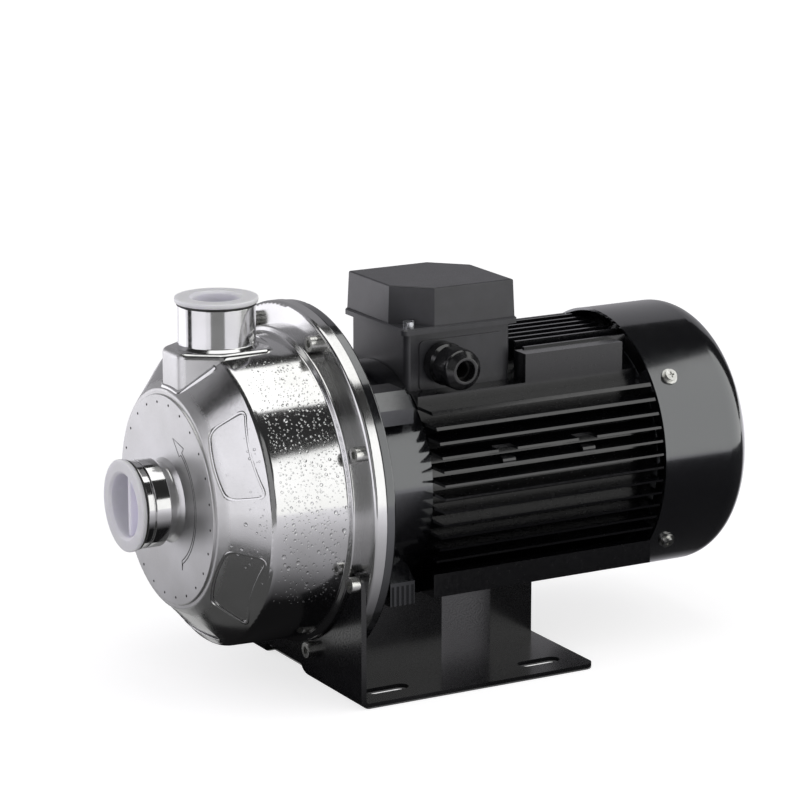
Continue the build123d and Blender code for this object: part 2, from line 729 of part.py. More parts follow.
def casing_back_cover():
    """Pressed disc that closes the wet end, with a spigot for the ring seal and a hub for the seal seat."""
    front = BACK_COVER_X
    skirt_inner = FLANGE_RADIUS - SHEET
    body = turned(
        (front, skirt_inner - SEAT_GAP, COVER_RIM_EDGE),
        (front, COVER_SPIGOT),
        (front - COVER_SPIGOT_LENGTH, COVER_SPIGOT, COVER_BEND),
        (front - COVER_SPIGOT_LENGTH, COVER_SPIGOT - COVER_SPIGOT_WALL, COVER_BEND),
        (front, COVER_SPIGOT - COVER_SPIGOT_FOOT, COVER_BEND),
        (front, SEAL_HUB),
        (SEAL_SEAT_X - SEAL_HUB_FLOOR, SEAL_HUB, SEAL_HUB_EDGE),
        (SEAL_SEAT_X - SEAL_HUB_FLOOR, SEAL_SEAT_RADIUS + SEAT_GAP),
        (front - SEAL_HUB_FLOOR, SEAL_SEAT_RADIUS + SEAT_GAP),
        (front - SEAL_HUB_FLOOR, WET_JOURNAL + SHAFT_HOLE_GAP),
        (front + SHEET, WET_JOURNAL + SHAFT_HOLE_GAP),
        (front + SHEET, skirt_inner - SEAT_GAP),
    )
    for hole in screw_holes(front - PAST, front + SHEET + PAST, SCREW_GAP):
        body -= hole
    return body


def casing_o_ring():
    """Ring seal between the cover's spigot and the inside of the casing's bead."""
    bead_bore = BEAD_RADIUS - SHEET
    section = (bead_bore - COVER_SPIGOT) / 2 - SEAT_GAP
    middle = (bead_bore + COVER_SPIGOT) / 2
    circle = Pos(BACK_COVER_X - section - SEAT_GAP, middle) * Circle(section)
    return SHAFT_LINE * revolve(circle, Axis.X, 360)


def seal_seat():
    """Stationary ceramic ring of the shaft seal, in the cover's hub."""
    bore = WET_JOURNAL + SEAL_SEAT_BORE_GAP
    face_x = SEAL_FACE_X + SEAT_GAP
    step_x = SEAL_SEAT_X - SEAL_SEAT_STEP_X
    back_x = BACK_COVER_X - SEAL_HUB_FLOOR - SEAT_GAP
    return turned(
        (face_x, bore),
        (face_x, SEAL_SEAT_RADIUS - SEAL_SEAT_NOSE),
        (step_x, SEAL_SEAT_RADIUS - SEAL_SEAT_STEP),
        (step_x, SEAL_SEAT_RADIUS),
        (back_x, SEAL_SEAT_RADIUS),
        (back_x, bore),
    )


def seal_head():
    """Turning half of the shaft seal: carbon face, rubber bellows and its case."""
    start_x = REAR_SHROUD_X + SEAL_HEAD_X
    head_end_x = start_x + SEAL_HEAD_LENGTH
    case_x = SEAL_FACE_X - SEAL_CASE_LENGTH
    carbon_x = SEAL_FACE_X - SEAL_CARBON_LENGTH
    return turned(
        (start_x, WET_JOURNAL),
        (start_x, SEAL_HEAD_RADIUS, SEAL_EDGE),
        (head_end_x, SEAL_HEAD_RADIUS, SEAL_EDGE),
        (head_end_x + SEAL_SLOPE, SEAL_BELLOWS_RADIUS),
        (case_x - SEAL_SLOPE, SEAL_BELLOWS_RADIUS),
        (case_x, SEAL_CASE_RADIUS, SEAL_EDGE),
        (carbon_x, SEAL_CASE_RADIUS),
        (carbon_x, SEAL_CARBON_RADIUS),
        (SEAL_FACE_X, SEAL_CARBON_RADIUS),
        (SEAL_FACE_X, WET_JOURNAL),
    )


def adapter_flange():
    """Cast flange that joins the wet end to the motor, its rim showing behind the casing's skirt."""
    inside_skirt = FLANGE_RADIUS - SHEET - PASS_GAP
    behind_skirt_x = SKIRT_LENGTH + PASS_GAP
    body = turned(
        (ADAPTER_X, inside_skirt),
        (ADAPTER_X, ADAPTER_BORE),
        (ADAPTER_REAR_X + ADAPTER_SPIGOT_LENGTH, ADAPTER_BORE),
        (ADAPTER_REAR_X + ADAPTER_SPIGOT_LENGTH, ADAPTER_SPIGOT - SEAT_GAP, SPIGOT_EDGE),
        (ADAPTER_REAR_X, ADAPTER_SPIGOT - SEAT_GAP),
        (ADAPTER_REAR_X, ADAPTER_RADIUS, ADAPTER_EDGE),
        (behind_skirt_x, ADAPTER_RADIUS, ADAPTER_FRONT_EDGE),
        (behind_skirt_x, inside_skirt),
    )
    for hole in screw_holes(ADAPTER_X - PAST, ADAPTER_REAR_X + PAST, ADAPTER_PRESS_GAP):
        body -= hole
    for hole in adapter_screw_holes(ADAPTER_SCREW_RADIUS + ADAPTER_HOLE_GAP, ADAPTER_SCREW_HEAD + PASS_GAP):
        body -= hole
    return body


def adapter_screw_holes(shank_radius, head_radius):
    """Stepped cutters for the four screws that hold the adapter to the motor's end shield."""
    head_rear = ADAPTER_X + 2 * ADAPTER_SCREW_RADIUS
    shank = rod(ADAPTER_X, ADAPTER_REAR_X + ADAPTER_SCREW_REACH, shank_radius)
    head = rod(ADAPTER_X - PAST, head_rear, head_radius)
    return on_circle(shank + head, ADAPTER_SCREW_CIRCLE, ADAPTER_SCREW_ANGLES)


def adapter_screws():
    """Socket-head screws sunk in the adapter's front face."""
    head_front = ADAPTER_X + ADAPTER_SCREW_SUNK
    head_rear = ADAPTER_X + 2 * ADAPTER_SCREW_RADIUS
    shank = rod(head_rear, ADAPTER_REAR_X + ADAPTER_SCREW_REACH, ADAPTER_SCREW_RADIUS - THREAD_GAP)
    head = rod(head_front, head_rear, ADAPTER_SCREW_HEAD)
    socket = hexagon_rod(head_front - PAST, head_front + SOCKET_DEPTH, ADAPTER_SOCKET)
    screw = head + shank - socket
    return Compound(children=on_circle(screw, ADAPTER_SCREW_CIRCLE, ADAPTER_SCREW_ANGLES))


def casing_screws():
    """Socket-head cap screws around the flange; the lower ones also clamp the foot."""
    screws = []
    for angle in screw_places():
        through_foot = cos(radians(angle)) * SCREW_CIRCLE < FOOT_EAR_TOP
        head_x = -FOOT_SHEET if through_foot else 0.0
        shank = rod(head_x, head_x + SCREW_LENGTH, SCREW_RADIUS)
        head_front = head_x - SCREW_HEAD_HEIGHT
        head = rod(head_front, head_x, SCREW_HEAD_RADIUS)
        socket = hexagon_rod(head_front - PAST, head_front + SOCKET_DEPTH, SCREW_SOCKET)
        screws += on_circle(head + shank - socket, SCREW_CIRCLE, [angle])
    return Compound(children=screws)


# Impeller and the wet end of the shaft

def shroud_gap(extra):
    """The water passage between the two shrouds, made wider all round by extra."""
    rear = REAR_SHROUD_X - SHROUD_THICKNESS + extra
    return turned(
        (rear, HUB_RADIUS - 1),
        (rear, IMPELLER_RADIUS),
        (rear - OUTLET_WIDTH - 2 * extra, IMPELLER_RADIUS),
        (IMPELLER_FRONT_X - extra, IMPELLER_EYE + extra, 6.0),
        (EYE_LIP_X, IMPELLER_EYE + extra),
        (EYE_LIP_X, HUB_RADIUS - 1),
    )


def vane():
    """One backward-curved vane, drawn as a thick arc that meets the rim at a flat angle."""
    inner = IMPELLER_EYE - 3.5
    outer = IMPELLER_RADIUS - 0.6
    middle = (inner + outer) / 2
    wrap = radians(VANE_WRAP)
    start = (inner, 0)
    halfway = (middle * cos(wrap * 0.44), middle * sin(wrap * 0.44))
    end = (outer * cos(wrap), outer * sin(wrap))
    camber = ThreePointArc(start, halfway, end)
    return across(trace(camber, VANE_THICKNESS), IMPELLER_FRONT_X - 1.0, REAR_SHROUD_X - 0.5)


def impeller():
    """Closed impeller: dished front shroud with its eye lip, curved vanes, rear shroud and keyed hub."""
    rear = REAR_SHROUD_X - SHROUD_THICKNESS
    rim_front = rear - OUTLET_WIDTH
    wall = SHROUD_THICKNESS
    front_shroud = turned(
        (rim_front, IMPELLER_RADIUS),
        (IMPELLER_FRONT_X, IMPELLER_EYE, 6.0),
        (EYE_LIP_X, IMPELLER_EYE),
        (EYE_LIP_X, IMPELLER_EYE + wall),
        (IMPELLER_FRONT_X - wall, IMPELLER_EYE + wall, 5.0),
        (rim_front - wall, IMPELLER_RADIUS),
    )
    rear_shroud = ring(rear, REAR_SHROUD_X, IMPELLER_RADIUS, HUB_RADIUS - 1)
    hub_front = WASHER_X + WASHER_THICKNESS
    hub_rear = REAR_SHROUD_X + 6.0
    hub = ring(hub_front, hub_rear, HUB_RADIUS, IMPELLER_JOURNAL + 0.02, 0.6)
    body = front_shroud + rear_shroud + hub
    for blade in around(vane() & shroud_gap(0.4), VANE_COUNT):
        body += blade
    keyway_top = IMPELLER_JOURNAL + KEY_HEIGHT
    keyway = across(Pos(0, keyway_top / 2) * Rectangle(KEY_WIDTH, keyway_top), hub_front - 1, hub_rear + 1)
    body -= keyway - ring(hub_front - 1, hub_rear + 1, IMPELLER_JOURNAL)
    return body


def impeller_key():
    """Parallel key, half in the shaft and half in the impeller hub."""
    low = IMPELLER_JOURNAL - KEY_HEIGHT
    high = IMPELLER_JOURNAL + KEY_HEIGHT - SEAT_GAP
    key = Pos(0, (low + high) / 2) * Rectangle(KEY_WIDTH - 2 * SEAT_GAP, high - low)
    return across(key, WASHER_X + WASHER_THICKNESS + 2, REAR_SHROUD_X + 2)


def impeller_washer():
    return ring(WASHER_X, WASHER_X + WASHER_THICKNESS, 10.5, SHAFT_THREAD + 0.1)


def impeller_nut():
    """Hexagon nut on the shaft's thread."""
    nut = SHAFT_LINE * hexagon_rod(WASHER_X - NUT_HEIGHT, WASHER_X, NUT_FLATS)
    return nut - ring(WASHER_X - NUT_HEIGHT - 1, WASHER_X + 1, SHAFT_THREAD + 0.02)


def wear_ring():
    """Ring inside the suction eye of the casing, with a close gap over the impeller's lip."""
    inner_face = FACE_X + SHEET
    lip = IMPELLER_EYE + SHROUD_THICKNESS + WEAR_GAP
    flange = inner_face + 2.5
    end = EYE_LIP_X + 4.0
    return turned(
        (inner_face, SUCTION_BORE),
        (inner_face, lip + 9, 0.8),
        (flange, lip + 9, 0.8),
        (flange, lip + 2.5),
        (end, lip + 2.5),
        (end, lip),
        (EYE_LIP_X - 2, lip),
        (flange, SUCTION_BORE),
    )


def motor_shaft():
    """Stepped shaft from the impeller nut's thread to the fan's seat, with the key slot."""
    rear_shoulder = REAR_BEARING_X - 2.0
    front_shoulder = FRONT_BEARING_X + FRONT_BEARING_WIDTH
    fan_step = REAR_BEARING_X + REAR_BEARING_WIDTH + 4.0
    seal_step = REAR_SHROUD_X + 6.0
    body = turned(
        (WASHER_X - NUT_HEIGHT - 2, 0),
        (WASHER_X - NUT_HEIGHT - 2, SHAFT_THREAD, 0.8),
        (WASHER_X + WASHER_THICKNESS, SHAFT_THREAD),
        (WASHER_X + WASHER_THICKNESS, IMPELLER_JOURNAL),
        (seal_step, IMPELLER_JOURNAL),
        (seal_step, WET_JOURNAL),
        (FRONT_BEARING_X - 8, WET_JOURNAL),
        (FRONT_BEARING_X - 6, FRONT_JOURNAL),
        (front_shoulder, FRONT_JOURNAL),
        (front_shoulder, SHAFT_RADIUS, 0.5),
        (rear_shoulder, SHAFT_RADIUS, 0.5),
        (rear_shoulder, REAR_JOURNAL),
        (fan_step, REAR_JOURNAL),
        (fan_step, FAN_JOURNAL),
        (SHAFT_REAR_X, FAN_JOURNAL, 1.0),
        (SHAFT_REAR_X, 0),
    )
    low = IMPELLER_JOURNAL - KEY_HEIGHT
    slot = Pos(0, low + 5) * Rectangle(KEY_WIDTH - 2 * SEAT_GAP, 10)
    return body - across(slot, WASHER_X + WASHER_THICKNESS + 2, REAR_SHROUD_X + 2)


# Bearings

def ball_bearing(front_x, width, outer, bore):
    """Shielded ball bearing: two races with a recessed shield between them on each side."""
    race = 3.2
    recess = 0.7
    body = ring(front_x, front_x + width, outer - SEAT_GAP, bore + RUN_GAP, 0.6)
    for face_x in (front_x, front_x + width - recess):
        body -= ring(face_x, face_x + recess, outer - race, bore + race)
    return body


def front_bearing():
    return ball_bearing(FRONT_BEARING_X, FRONT_BEARING_WIDTH, FRONT_BEARING_RADIUS, FRONT_JOURNAL)


def rear_bearing():
    return ball_bearing(REAR_BEARING_X, REAR_BEARING_WIDTH, REAR_BEARING_RADIUS, REAR_JOURNAL)


# Motor

def mirrored(part):
    """A part and its copy on the other side of the shaft line."""
    return [part, mirror(part, Plane.XZ)]


def upper_lug():
    """Outline of the end shield's upper corner lug in (y, z)."""
    side = -UPPER_LUG_HALF_WIDTH
    inner = side + UPPER_LUG_WIDTH
    low = UPPER_LUG_TOP - UPPER_LUG_HEIGHT
    outline = Polyline(
        (side + UPPER_LUG_ROOT, low),
        (side, low),
        (side, UPPER_LUG_TOP - UPPER_LUG_DROP),
        (side + UPPER_LUG_CUT, UPPER_LUG_TOP),
        (inner, UPPER_LUG_TOP),
        (inner, UPPER_LUG_TOP - UPPER_LUG_HEEL),
        close=True,
    )
    return make_face(outline.edges())


def lower_lug():
    """Outline of the end shield's foot lug in (y, z), with its sloping shelf."""
    side = -LUG_HALF_WIDTH
    outline = Polyline(
        (side + FOOT_LUG_WIDTH, RAIL_TOP - FOOT_LUG_DEPTH),
        (side + FOOT_LUG_TOE, RAIL_BOTTOM),
        (side, RAIL_BOTTOM),
        (side, RAIL_TOP),
        (side + FOOT_LUG_SHELF, RAIL_TOP + FOOT_LUG_RISE),
        (side + FOOT_LUG_HEEL, RAIL_TOP + FOOT_LUG_HEEL_RISE),
        close=True,
    )
    return make_face(outline.edges())


def front_end_shield():
    """Cast drum of the motor's drive end with its bearing seat, spigots, corner lugs and ribbed foot lugs."""
    seat = FRONT_BEARING_RADIUS
    bearing_rear = FRONT_BEARING_X + FRONT_BEARING_WIDTH
    recess = ADAPTER_REAR_X + ADAPTER_SPIGOT_LENGTH + 0.3
    spigot_rear = HOUSING_FRONT_X + 4
    body = turned(
        (ADAPTER_REAR_X, ADAPTER_SPIGOT),
        (ADAPTER_REAR_X, SHIELD_FLANGE, 1.5),
        (SHIELD_FLANGE_X, SHIELD_FLANGE, 1.5),
        (SHIELD_FLANGE_X + 1.2, SHIELD_RADIUS, 1.0),
        (HOUSING_FRONT_X, SHIELD_RADIUS, 0.8),
        (HOUSING_FRONT_X, HOUSING_BORE - SEAT_GAP),
        (spigot_rear, HOUSING_BORE - SEAT_GAP, 0.6),
        (spigot_rear, HOUSING_BORE - SHIELD_WALL),
        (HOUSING_FRONT_X - 4, HOUSING_BORE - SHIELD_WALL, 2.0),
        (HOUSING_FRONT_X - 12, SHIELD_RADIUS - SHIELD_WALL, 2.0),
        (recess + 10, SHIELD_RADIUS - SHIELD_WALL, 2.0),
        (recess + 10, seat + 6, 2.0),
        (bearing_rear, seat + 6, 1.0),
        (bearing_rear, seat),
        (FRONT_BEARING_X, seat),
        (FRONT_BEARING_X, seat - 4),
        (FRONT_BEARING_X - 5, FRONT_JOURNAL + 2),
        (recess, FRONT_JOURNAL + 2),
        (recess, ADAPTER_SPIGOT),
    )
    inside = ring(ADAPTER_REAR_X + 1, HOUSING_FRONT_X + 1, SHIELD_RADIUS - SHIELD_WALL / 2)
    rib_room = FOOT_LUG_REAR_X - FOOT_LUG_FRONT_X
    foot_lug = across(lower_lug(), FOOT_LUG_FRONT_X, FOOT_LUG_REAR_X)
    rib_slot = Rectangle(RIB_SLOT_DEPTH, RIB_SLOT_HEIGHT)
    slot_place = Pos(-LUG_HALF_WIDTH, RAIL_BOTTOM + RIB_SLOT_HEIGHT / 2 - PAST)
    for i in range(FOOT_LUG_RIBS):
        x = FOOT_LUG_FRONT_X + rib_room * (i + 0.5) / FOOT_LUG_RIBS
        foot_lug -= across(slot_place * rib_slot, x - RIB_SLOT / 2, x + RIB_SLOT / 2)
    for lug in (across(upper_lug(), LUG_FRONT_X, LUG_REAR_X), foot_lug):
        for side in mirrored(lug - inside):
            body += side
    for hole in adapter_screw_holes(ADAPTER_SCREW_RADIUS, ADAPTER_SCREW_RADIUS):
        body -= hole
    return body


def fin_profile():
    """Cross-section of the finned frame in (y, z): side fins, feet rails and terminal-box saddle."""
    envelope = Circle(FIN_TIP_RADIUS)
    root = FIN_THICKNESS / 2
    tip = FIN_TIP_THICKNESS / 2
    right = [(FIN_TIP_RADIUS, -tip), (FIN_TIP_RADIUS, tip), (HOUSING_CORE, root)]
    left = [(-HOUSING_CORE, root), (-FIN_TIP_RADIUS, tip), (-FIN_TIP_RADIUS, -tip)]
    fin_pair = Polygon(*right, *left, (-HOUSING_CORE, -root), (HOUSING_CORE, -root), align=None)
    section = Circle(HOUSING_CORE)
    for i in range(SIDE_FIN_COUNT):
        height = SIDE_FIN_HIGHEST - SIDE_FIN_PITCH * i
        section += Pos(0, height) * fin_pair & envelope
    saddle_height = SADDLE_TOP
    section += Pos(0, saddle_height / 2) * Rectangle(2 * SADDLE_HALF_WIDTH, saddle_height)
    slab = 6.0
    section += Pos(0, RAIL_BOTTOM + slab / 2) * Rectangle(2 * RAIL_HALF_WIDTH, slab)
    rail_height = RAIL_TOP - RAIL_BOTTOM
    for side in (-1, 1):
        place = Pos(side * (RAIL_HALF_WIDTH - RAIL_THICKNESS / 2), RAIL_BOTTOM + rail_height / 2)
        section += place * Rectangle(RAIL_THICKNESS, rail_height)
    return section - Circle(HOUSING_BORE)


def top_fin_profile():
    """Upright fins on top of the frame, behind the terminal box, in (y, z)."""
    fins = []
    low = SADDLE_TOP - 3
    for i in range(TOP_FIN_COUNT):
        y = TOP_FIN_PITCH * (i - (TOP_FIN_COUNT - 1) / 2)
        tip = min(FIN_TOP, sqrt(FIN_TIP_RADIUS**2 - y**2))
        fins.append(Pos(y, (low + tip) / 2) * Rectangle(FIN_THICKNESS, tip - low))
    return Sketch() + fins - Circle(HOUSING_BORE)


def motor_housing():
    """Extruded aluminium frame with parallel fins, feet rails, terminal-box saddle and bare plate pad."""
    body = across(fin_profile(), HOUSING_FRONT_X, HOUSING_REAR_X)
    body += across(top_fin_profile(), SADDLE_REAR_X + 1, HOUSING_REAR_X)
    pad_width = 12.0
    pad_height = PLATE_PAD_TOP - SADDLE_TOP
    pad = Pos(pad_width / 2 - PLATE_PAD_FACE, SADDLE_TOP + pad_height / 2 - 1)
    body += across(pad * Rectangle(pad_width, pad_height + 2), PLATE_PAD_X, PLATE_PAD_END_X)
    body = fin_bosses(body)
    for x in (FRONT_BOLT_X, REAR_BOLT_X):
        for y in (-SUPPORT_BOLT_Y, SUPPORT_BOLT_Y):
            hole = upward(Circle(SUPPORT_BOLT_RADIUS), RAIL_BOTTOM - PAST, RAIL_BOTTOM + SUPPORT_HOLE_DEPTH)
            body -= Pos(x, y, 0) * hole
    for hole in end_screw_holes(END_SCREW_RADIUS):
        body -= hole
    return body - upward(Pos(WIRE_HOLE_X, 0) * Circle(WIRE_HOLE), HOUSING_BORE - 10, HOUSING_CORE + 1)


def fin_bosses(body):
    """Small raised bosses on one fin of each side, with the fin above cut away over them."""
    height = SIDE_FIN_HIGHEST - SIDE_FIN_PITCH * FIN_BOSS_ROW
    above = height + SIDE_FIN_PITCH
    reach = sqrt(FIN_TIP_RADIUS**2 - height**2) - 0.5
    gap_depth = 12.0
    for x in FIN_BOSS_X:
        low_x = x - FIN_BOSS_LENGTH / 2
        high_x = x + FIN_BOSS_LENGTH / 2
        for side in (-1, 1):
            gap = Pos(side * (reach + 2), above) * Rectangle(2 * gap_depth, SIDE_FIN_PITCH - 1)
            body -= across(gap, low_x, high_x)
            boss = Pos(side * (reach - 3), height + 1) * rounded(6, FIN_THICKNESS + 3, 2)
            body += across(boss, low_x + 2, high_x - 2)
    return body


def end_screw_holes(radius):
    """Cutters for the screws that hold the rear end shield to the frame."""
    middle = (HOUSING_BORE + HOUSING_CORE) / 2
    hole = rod(HOUSING_REAR_X - END_SCREW_REACH - PAST, HOUSING_REAR_X + 10 * PAST, radius)
    return on_circle(hole, middle, END_SCREW_ANGLES)


def end_shield_screws():
    """Screws that hold the rear end shield to the frame."""
    seat = HOUSING_REAR_X + REAR_SHIELD_PLATE
    middle = (HOUSING_BORE + HOUSING_CORE) / 2
    head_end = seat + END_SCREW_HEAD_HEIGHT
    head = rod(seat, head_end, END_SCREW_HEAD)
    shank = rod(HOUSING_REAR_X - END_SCREW_REACH, seat, END_SCREW_RADIUS - THREAD_GAP)
    socket = hexagon_rod(head_end - END_SCREW_SOCKET_DEPTH, head_end + PAST, END_SCREW_SOCKET)
    return Compound(children=on_circle(head + shank - socket, middle, END_SCREW_ANGLES))


def stator_core():
    """Laminated stack with its winding slots open to the bore."""
    outer = HOUSING_BORE - SEAT_GAP
    section = Circle(outer) - Circle(STACK_BORE)
    step = 360 / SLOT_COUNT
    slot = Pos(0, STACK_BORE + SLOT_DEPTH / 2) * Rectangle(SLOT_WIDTH, SLOT_DEPTH)
    mouth = Pos(0, STACK_BORE) * Rectangle(1.8, 6)
    for i in range(SLOT_COUNT):
        section -= Rot(0, 0, step * i) * (slot.moved(Location((0, 2))) + mouth)
    return across(section, STACK_FRONT_X, STACK_REAR_X)


def end_winding(front_x, rear_x):
    """Bound coil ends standing out of one face of the stack."""
    inner = STACK_BORE + 2
    outer = STACK_BORE + SLOT_DEPTH + 4
    return ring(front_x, rear_x, outer, inner, 4.0)


def front_winding():
    return end_winding(STACK_FRONT_X - COIL_OVERHANG, STACK_FRONT_X)


def rear_winding():
    return end_winding(STACK_REAR_X, STACK_REAR_X + COIL_OVERHANG)


def rotor_core():
    """Squirrel-cage rotor: stack with its two cast end rings."""
    radius = STACK_BORE - ROTOR_AIR_GAP
    end_ring = 6.0
    return turned(
        (STACK_FRONT_X - end_ring, SHAFT_RADIUS + 3),
        (STACK_FRONT_X - end_ring, radius - 2, 1.0),
        (STACK_FRONT_X, radius - 2),
        (STACK_FRONT_X, radius),
        (STACK_REAR_X, radius),
        (STACK_REAR_X, radius - 2),
        (STACK_REAR_X + end_ring, radius - 2, 1.0),
        (STACK_REAR_X + end_ring, SHAFT_RADIUS + 3),
        (STACK_REAR_X, SHAFT_RADIUS + 3),
        (STACK_REAR_X, SHAFT_RADIUS + 0.02),
        (STACK_FRONT_X, SHAFT_RADIUS + 0.02),
        (STACK_FRONT_X, SHAFT_RADIUS + 3),
    )


def cover_screw_angles():
    """Angles of the fan cover's screws from the top."""
    side = 90 - COVER_SCREW_ANGLE
    return [side, 180 - side, 180 + side, -side]


def rear_end_shield():
    """Cast cover of the motor's fan end with its bearing seat and four arms for the fan cover."""
    seat = REAR_BEARING_RADIUS
    bearing_rear = REAR_BEARING_X + REAR_BEARING_WIDTH
    plate_rear = HOUSING_REAR_X + REAR_SHIELD_PLATE
    rim = HOUSING_CORE + 4
    body = turned(
        (HOUSING_REAR_X - 6, HOUSING_BORE - 5),
        (HOUSING_REAR_X - 6, HOUSING_BORE - SEAT_GAP, 0.8),
        (HOUSING_REAR_X, HOUSING_BORE - SEAT_GAP),
        (HOUSING_REAR_X, rim),
        (plate_rear, rim, 1.5),
        (plate_rear, REAR_JOURNAL + 2),
        (bearing_rear, REAR_JOURNAL + 2),
        (bearing_rear, seat),
        (REAR_BEARING_X, seat),
        (REAR_BEARING_X, seat + 5, 1.0),
        (HOUSING_REAR_X, seat + 7),
        (HOUSING_REAR_X, HOUSING_BORE - 5),
    )
    arm_top = COVER_BORE - 0.1
    arm_width = 14.0
    arm_end = COVER_SCREW_X + 6
    arm_depth = 8.0
    leg = Pos(0, (rim + arm_top) / 2) * Rectangle(arm_width, arm_top - rim + arm_depth)
    lug = Pos(0, arm_top - arm_depth / 2) * Rectangle(arm_width, arm_depth)
    arm = across(leg, HOUSING_REAR_X, plate_rear) + across(lug, plate_rear, arm_end)
    inside_cover = ring(HOUSING_REAR_X, arm_end, arm_top)
    for angle in cover_screw_angles():
        turn = SHAFT_LINE * Rot(angle, 0, 0) * SHAFT_LINE.inverse()
        body += (turn * arm) & inside_cover
    tapped = Pos(COVER_SCREW_X, 0, 0) * Cylinder(COVER_SCREW_TAPPED, COVER_SCREW_CUT)
    for cutter in on_circle(tapped, arm_top, cover_screw_angles()):
        body -= cutter
    for hole in end_screw_holes(END_SCREW_RADIUS + 0.2):
        body -= hole
    return body


def fan():
    """Radial cooling fan: hub, disc and straight blades with cut-back corners."""
    hub_rear = FAN_X + FAN_WIDTH - 3
    body = ring(FAN_X, hub_rear, FAN_JOURNAL + 5, FAN_JOURNAL + 0.02, 0.8)
    body += ring(FAN_X, FAN_X + 2, FAN_RADIUS, FAN_JOURNAL + 2)
    blade = Polyline(
        (FAN_X + 1, FAN_JOURNAL + 3),
        (FAN_X + 1, FAN_RADIUS),
        (FAN_X + FAN_WIDTH * 0.7, FAN_RADIUS),
        (FAN_X + FAN_WIDTH, FAN_RADIUS * 0.7),
        (FAN_X + FAN_WIDTH - 4, FAN_JOURNAL + 3),
        close=True,
    )
    sheet = extrude(Plane.XZ * make_face(blade.edges()), 1.0, both=True)
    for copy in around(SHAFT_LINE * sheet, FAN_BLADES):
        body += copy
    return body


def fan_cover():
    """Pressed cowl with a large rounded rear shoulder and an air grille in its rear face."""
    wall = COVER_SHEET
    body = turned(
        (COVER_FRONT_X, COVER_RADIUS),
        (COVER_REAR_X, COVER_RADIUS, COVER_SHOULDER),
        (COVER_REAR_X, 0),
        (COVER_REAR_X - wall, 0),
        (COVER_REAR_X - wall, COVER_BORE, COVER_SHOULDER - wall),
        (COVER_FRONT_X, COVER_BORE),
    )
    body -= across(grille_slots(), COVER_REAR_X - wall - 1, COVER_REAR_X + 1)
    hole = Pos(COVER_SCREW_X, 0, 0) * Cylinder(COVER_SCREW_HOLE, COVER_SCREW_CUT)
    for cutter in on_circle(hole, COVER_RADIUS, cover_screw_angles()):
        body -= cutter
    return body


def grille_slots():
    """Ring-shaped air slots of the fan cover, parted by straight spokes."""
    slots = Sketch()
    last = COVER_RADIUS - COVER_SHOULDER - GRILLE_SLOT
    rings = int((last - GRILLE_HUB) / GRILLE_PITCH) + 1
    for i in range(rings):
        radius = GRILLE_HUB + GRILLE_PITCH * i
        slots += Circle(radius + GRILLE_SLOT) - Circle(radius)
    for i in range(GRILLE_SPOKES // 2):
        slots -= Rot(0, 0, 360 / GRILLE_SPOKES * i) * Rectangle(2 * COVER_RADIUS, GRILLE_SPOKE_WIDTH)
    return slots


def fan_cover_screws():
    """Pan-head screws with washers that hold the fan cover to the rear shield's arms."""
    thickness = COVER_WASHER_THICKNESS
    depth = COVER_SCREW_CROSS_DEPTH
    head_top = thickness + COVER_SCREW_HEAD_HEIGHT
    washer = Pos(0, 0, thickness / 2) * Cylinder(COVER_WASHER, thickness)
    head_place = Pos(0, 0, thickness + COVER_SCREW_HEAD_HEIGHT / 2)
    head = head_place * Cylinder(COVER_SCREW_HEAD, COVER_SCREW_HEAD_HEIGHT)
    arm = Box(COVER_SCREW_CROSS, COVER_SCREW_CROSS_WIDTH, depth)
    recess = Pos(0, 0, head_top + PASS_GAP - depth / 2) * (arm + Rot(0, 0, 90) * arm)
    shank = Pos(0, 0, -COVER_SCREW_REACH / 2) * Cylinder(COVER_SCREW_RADIUS, COVER_SCREW_REACH)
    screw = Pos(COVER_SCREW_X, 0, 0) * (washer + head + shank - recess)
    return Compound(children=on_circle(screw, COVER_RADIUS + COVER_WASHER_LIFT, cover_screw_angles()))


# Terminal box

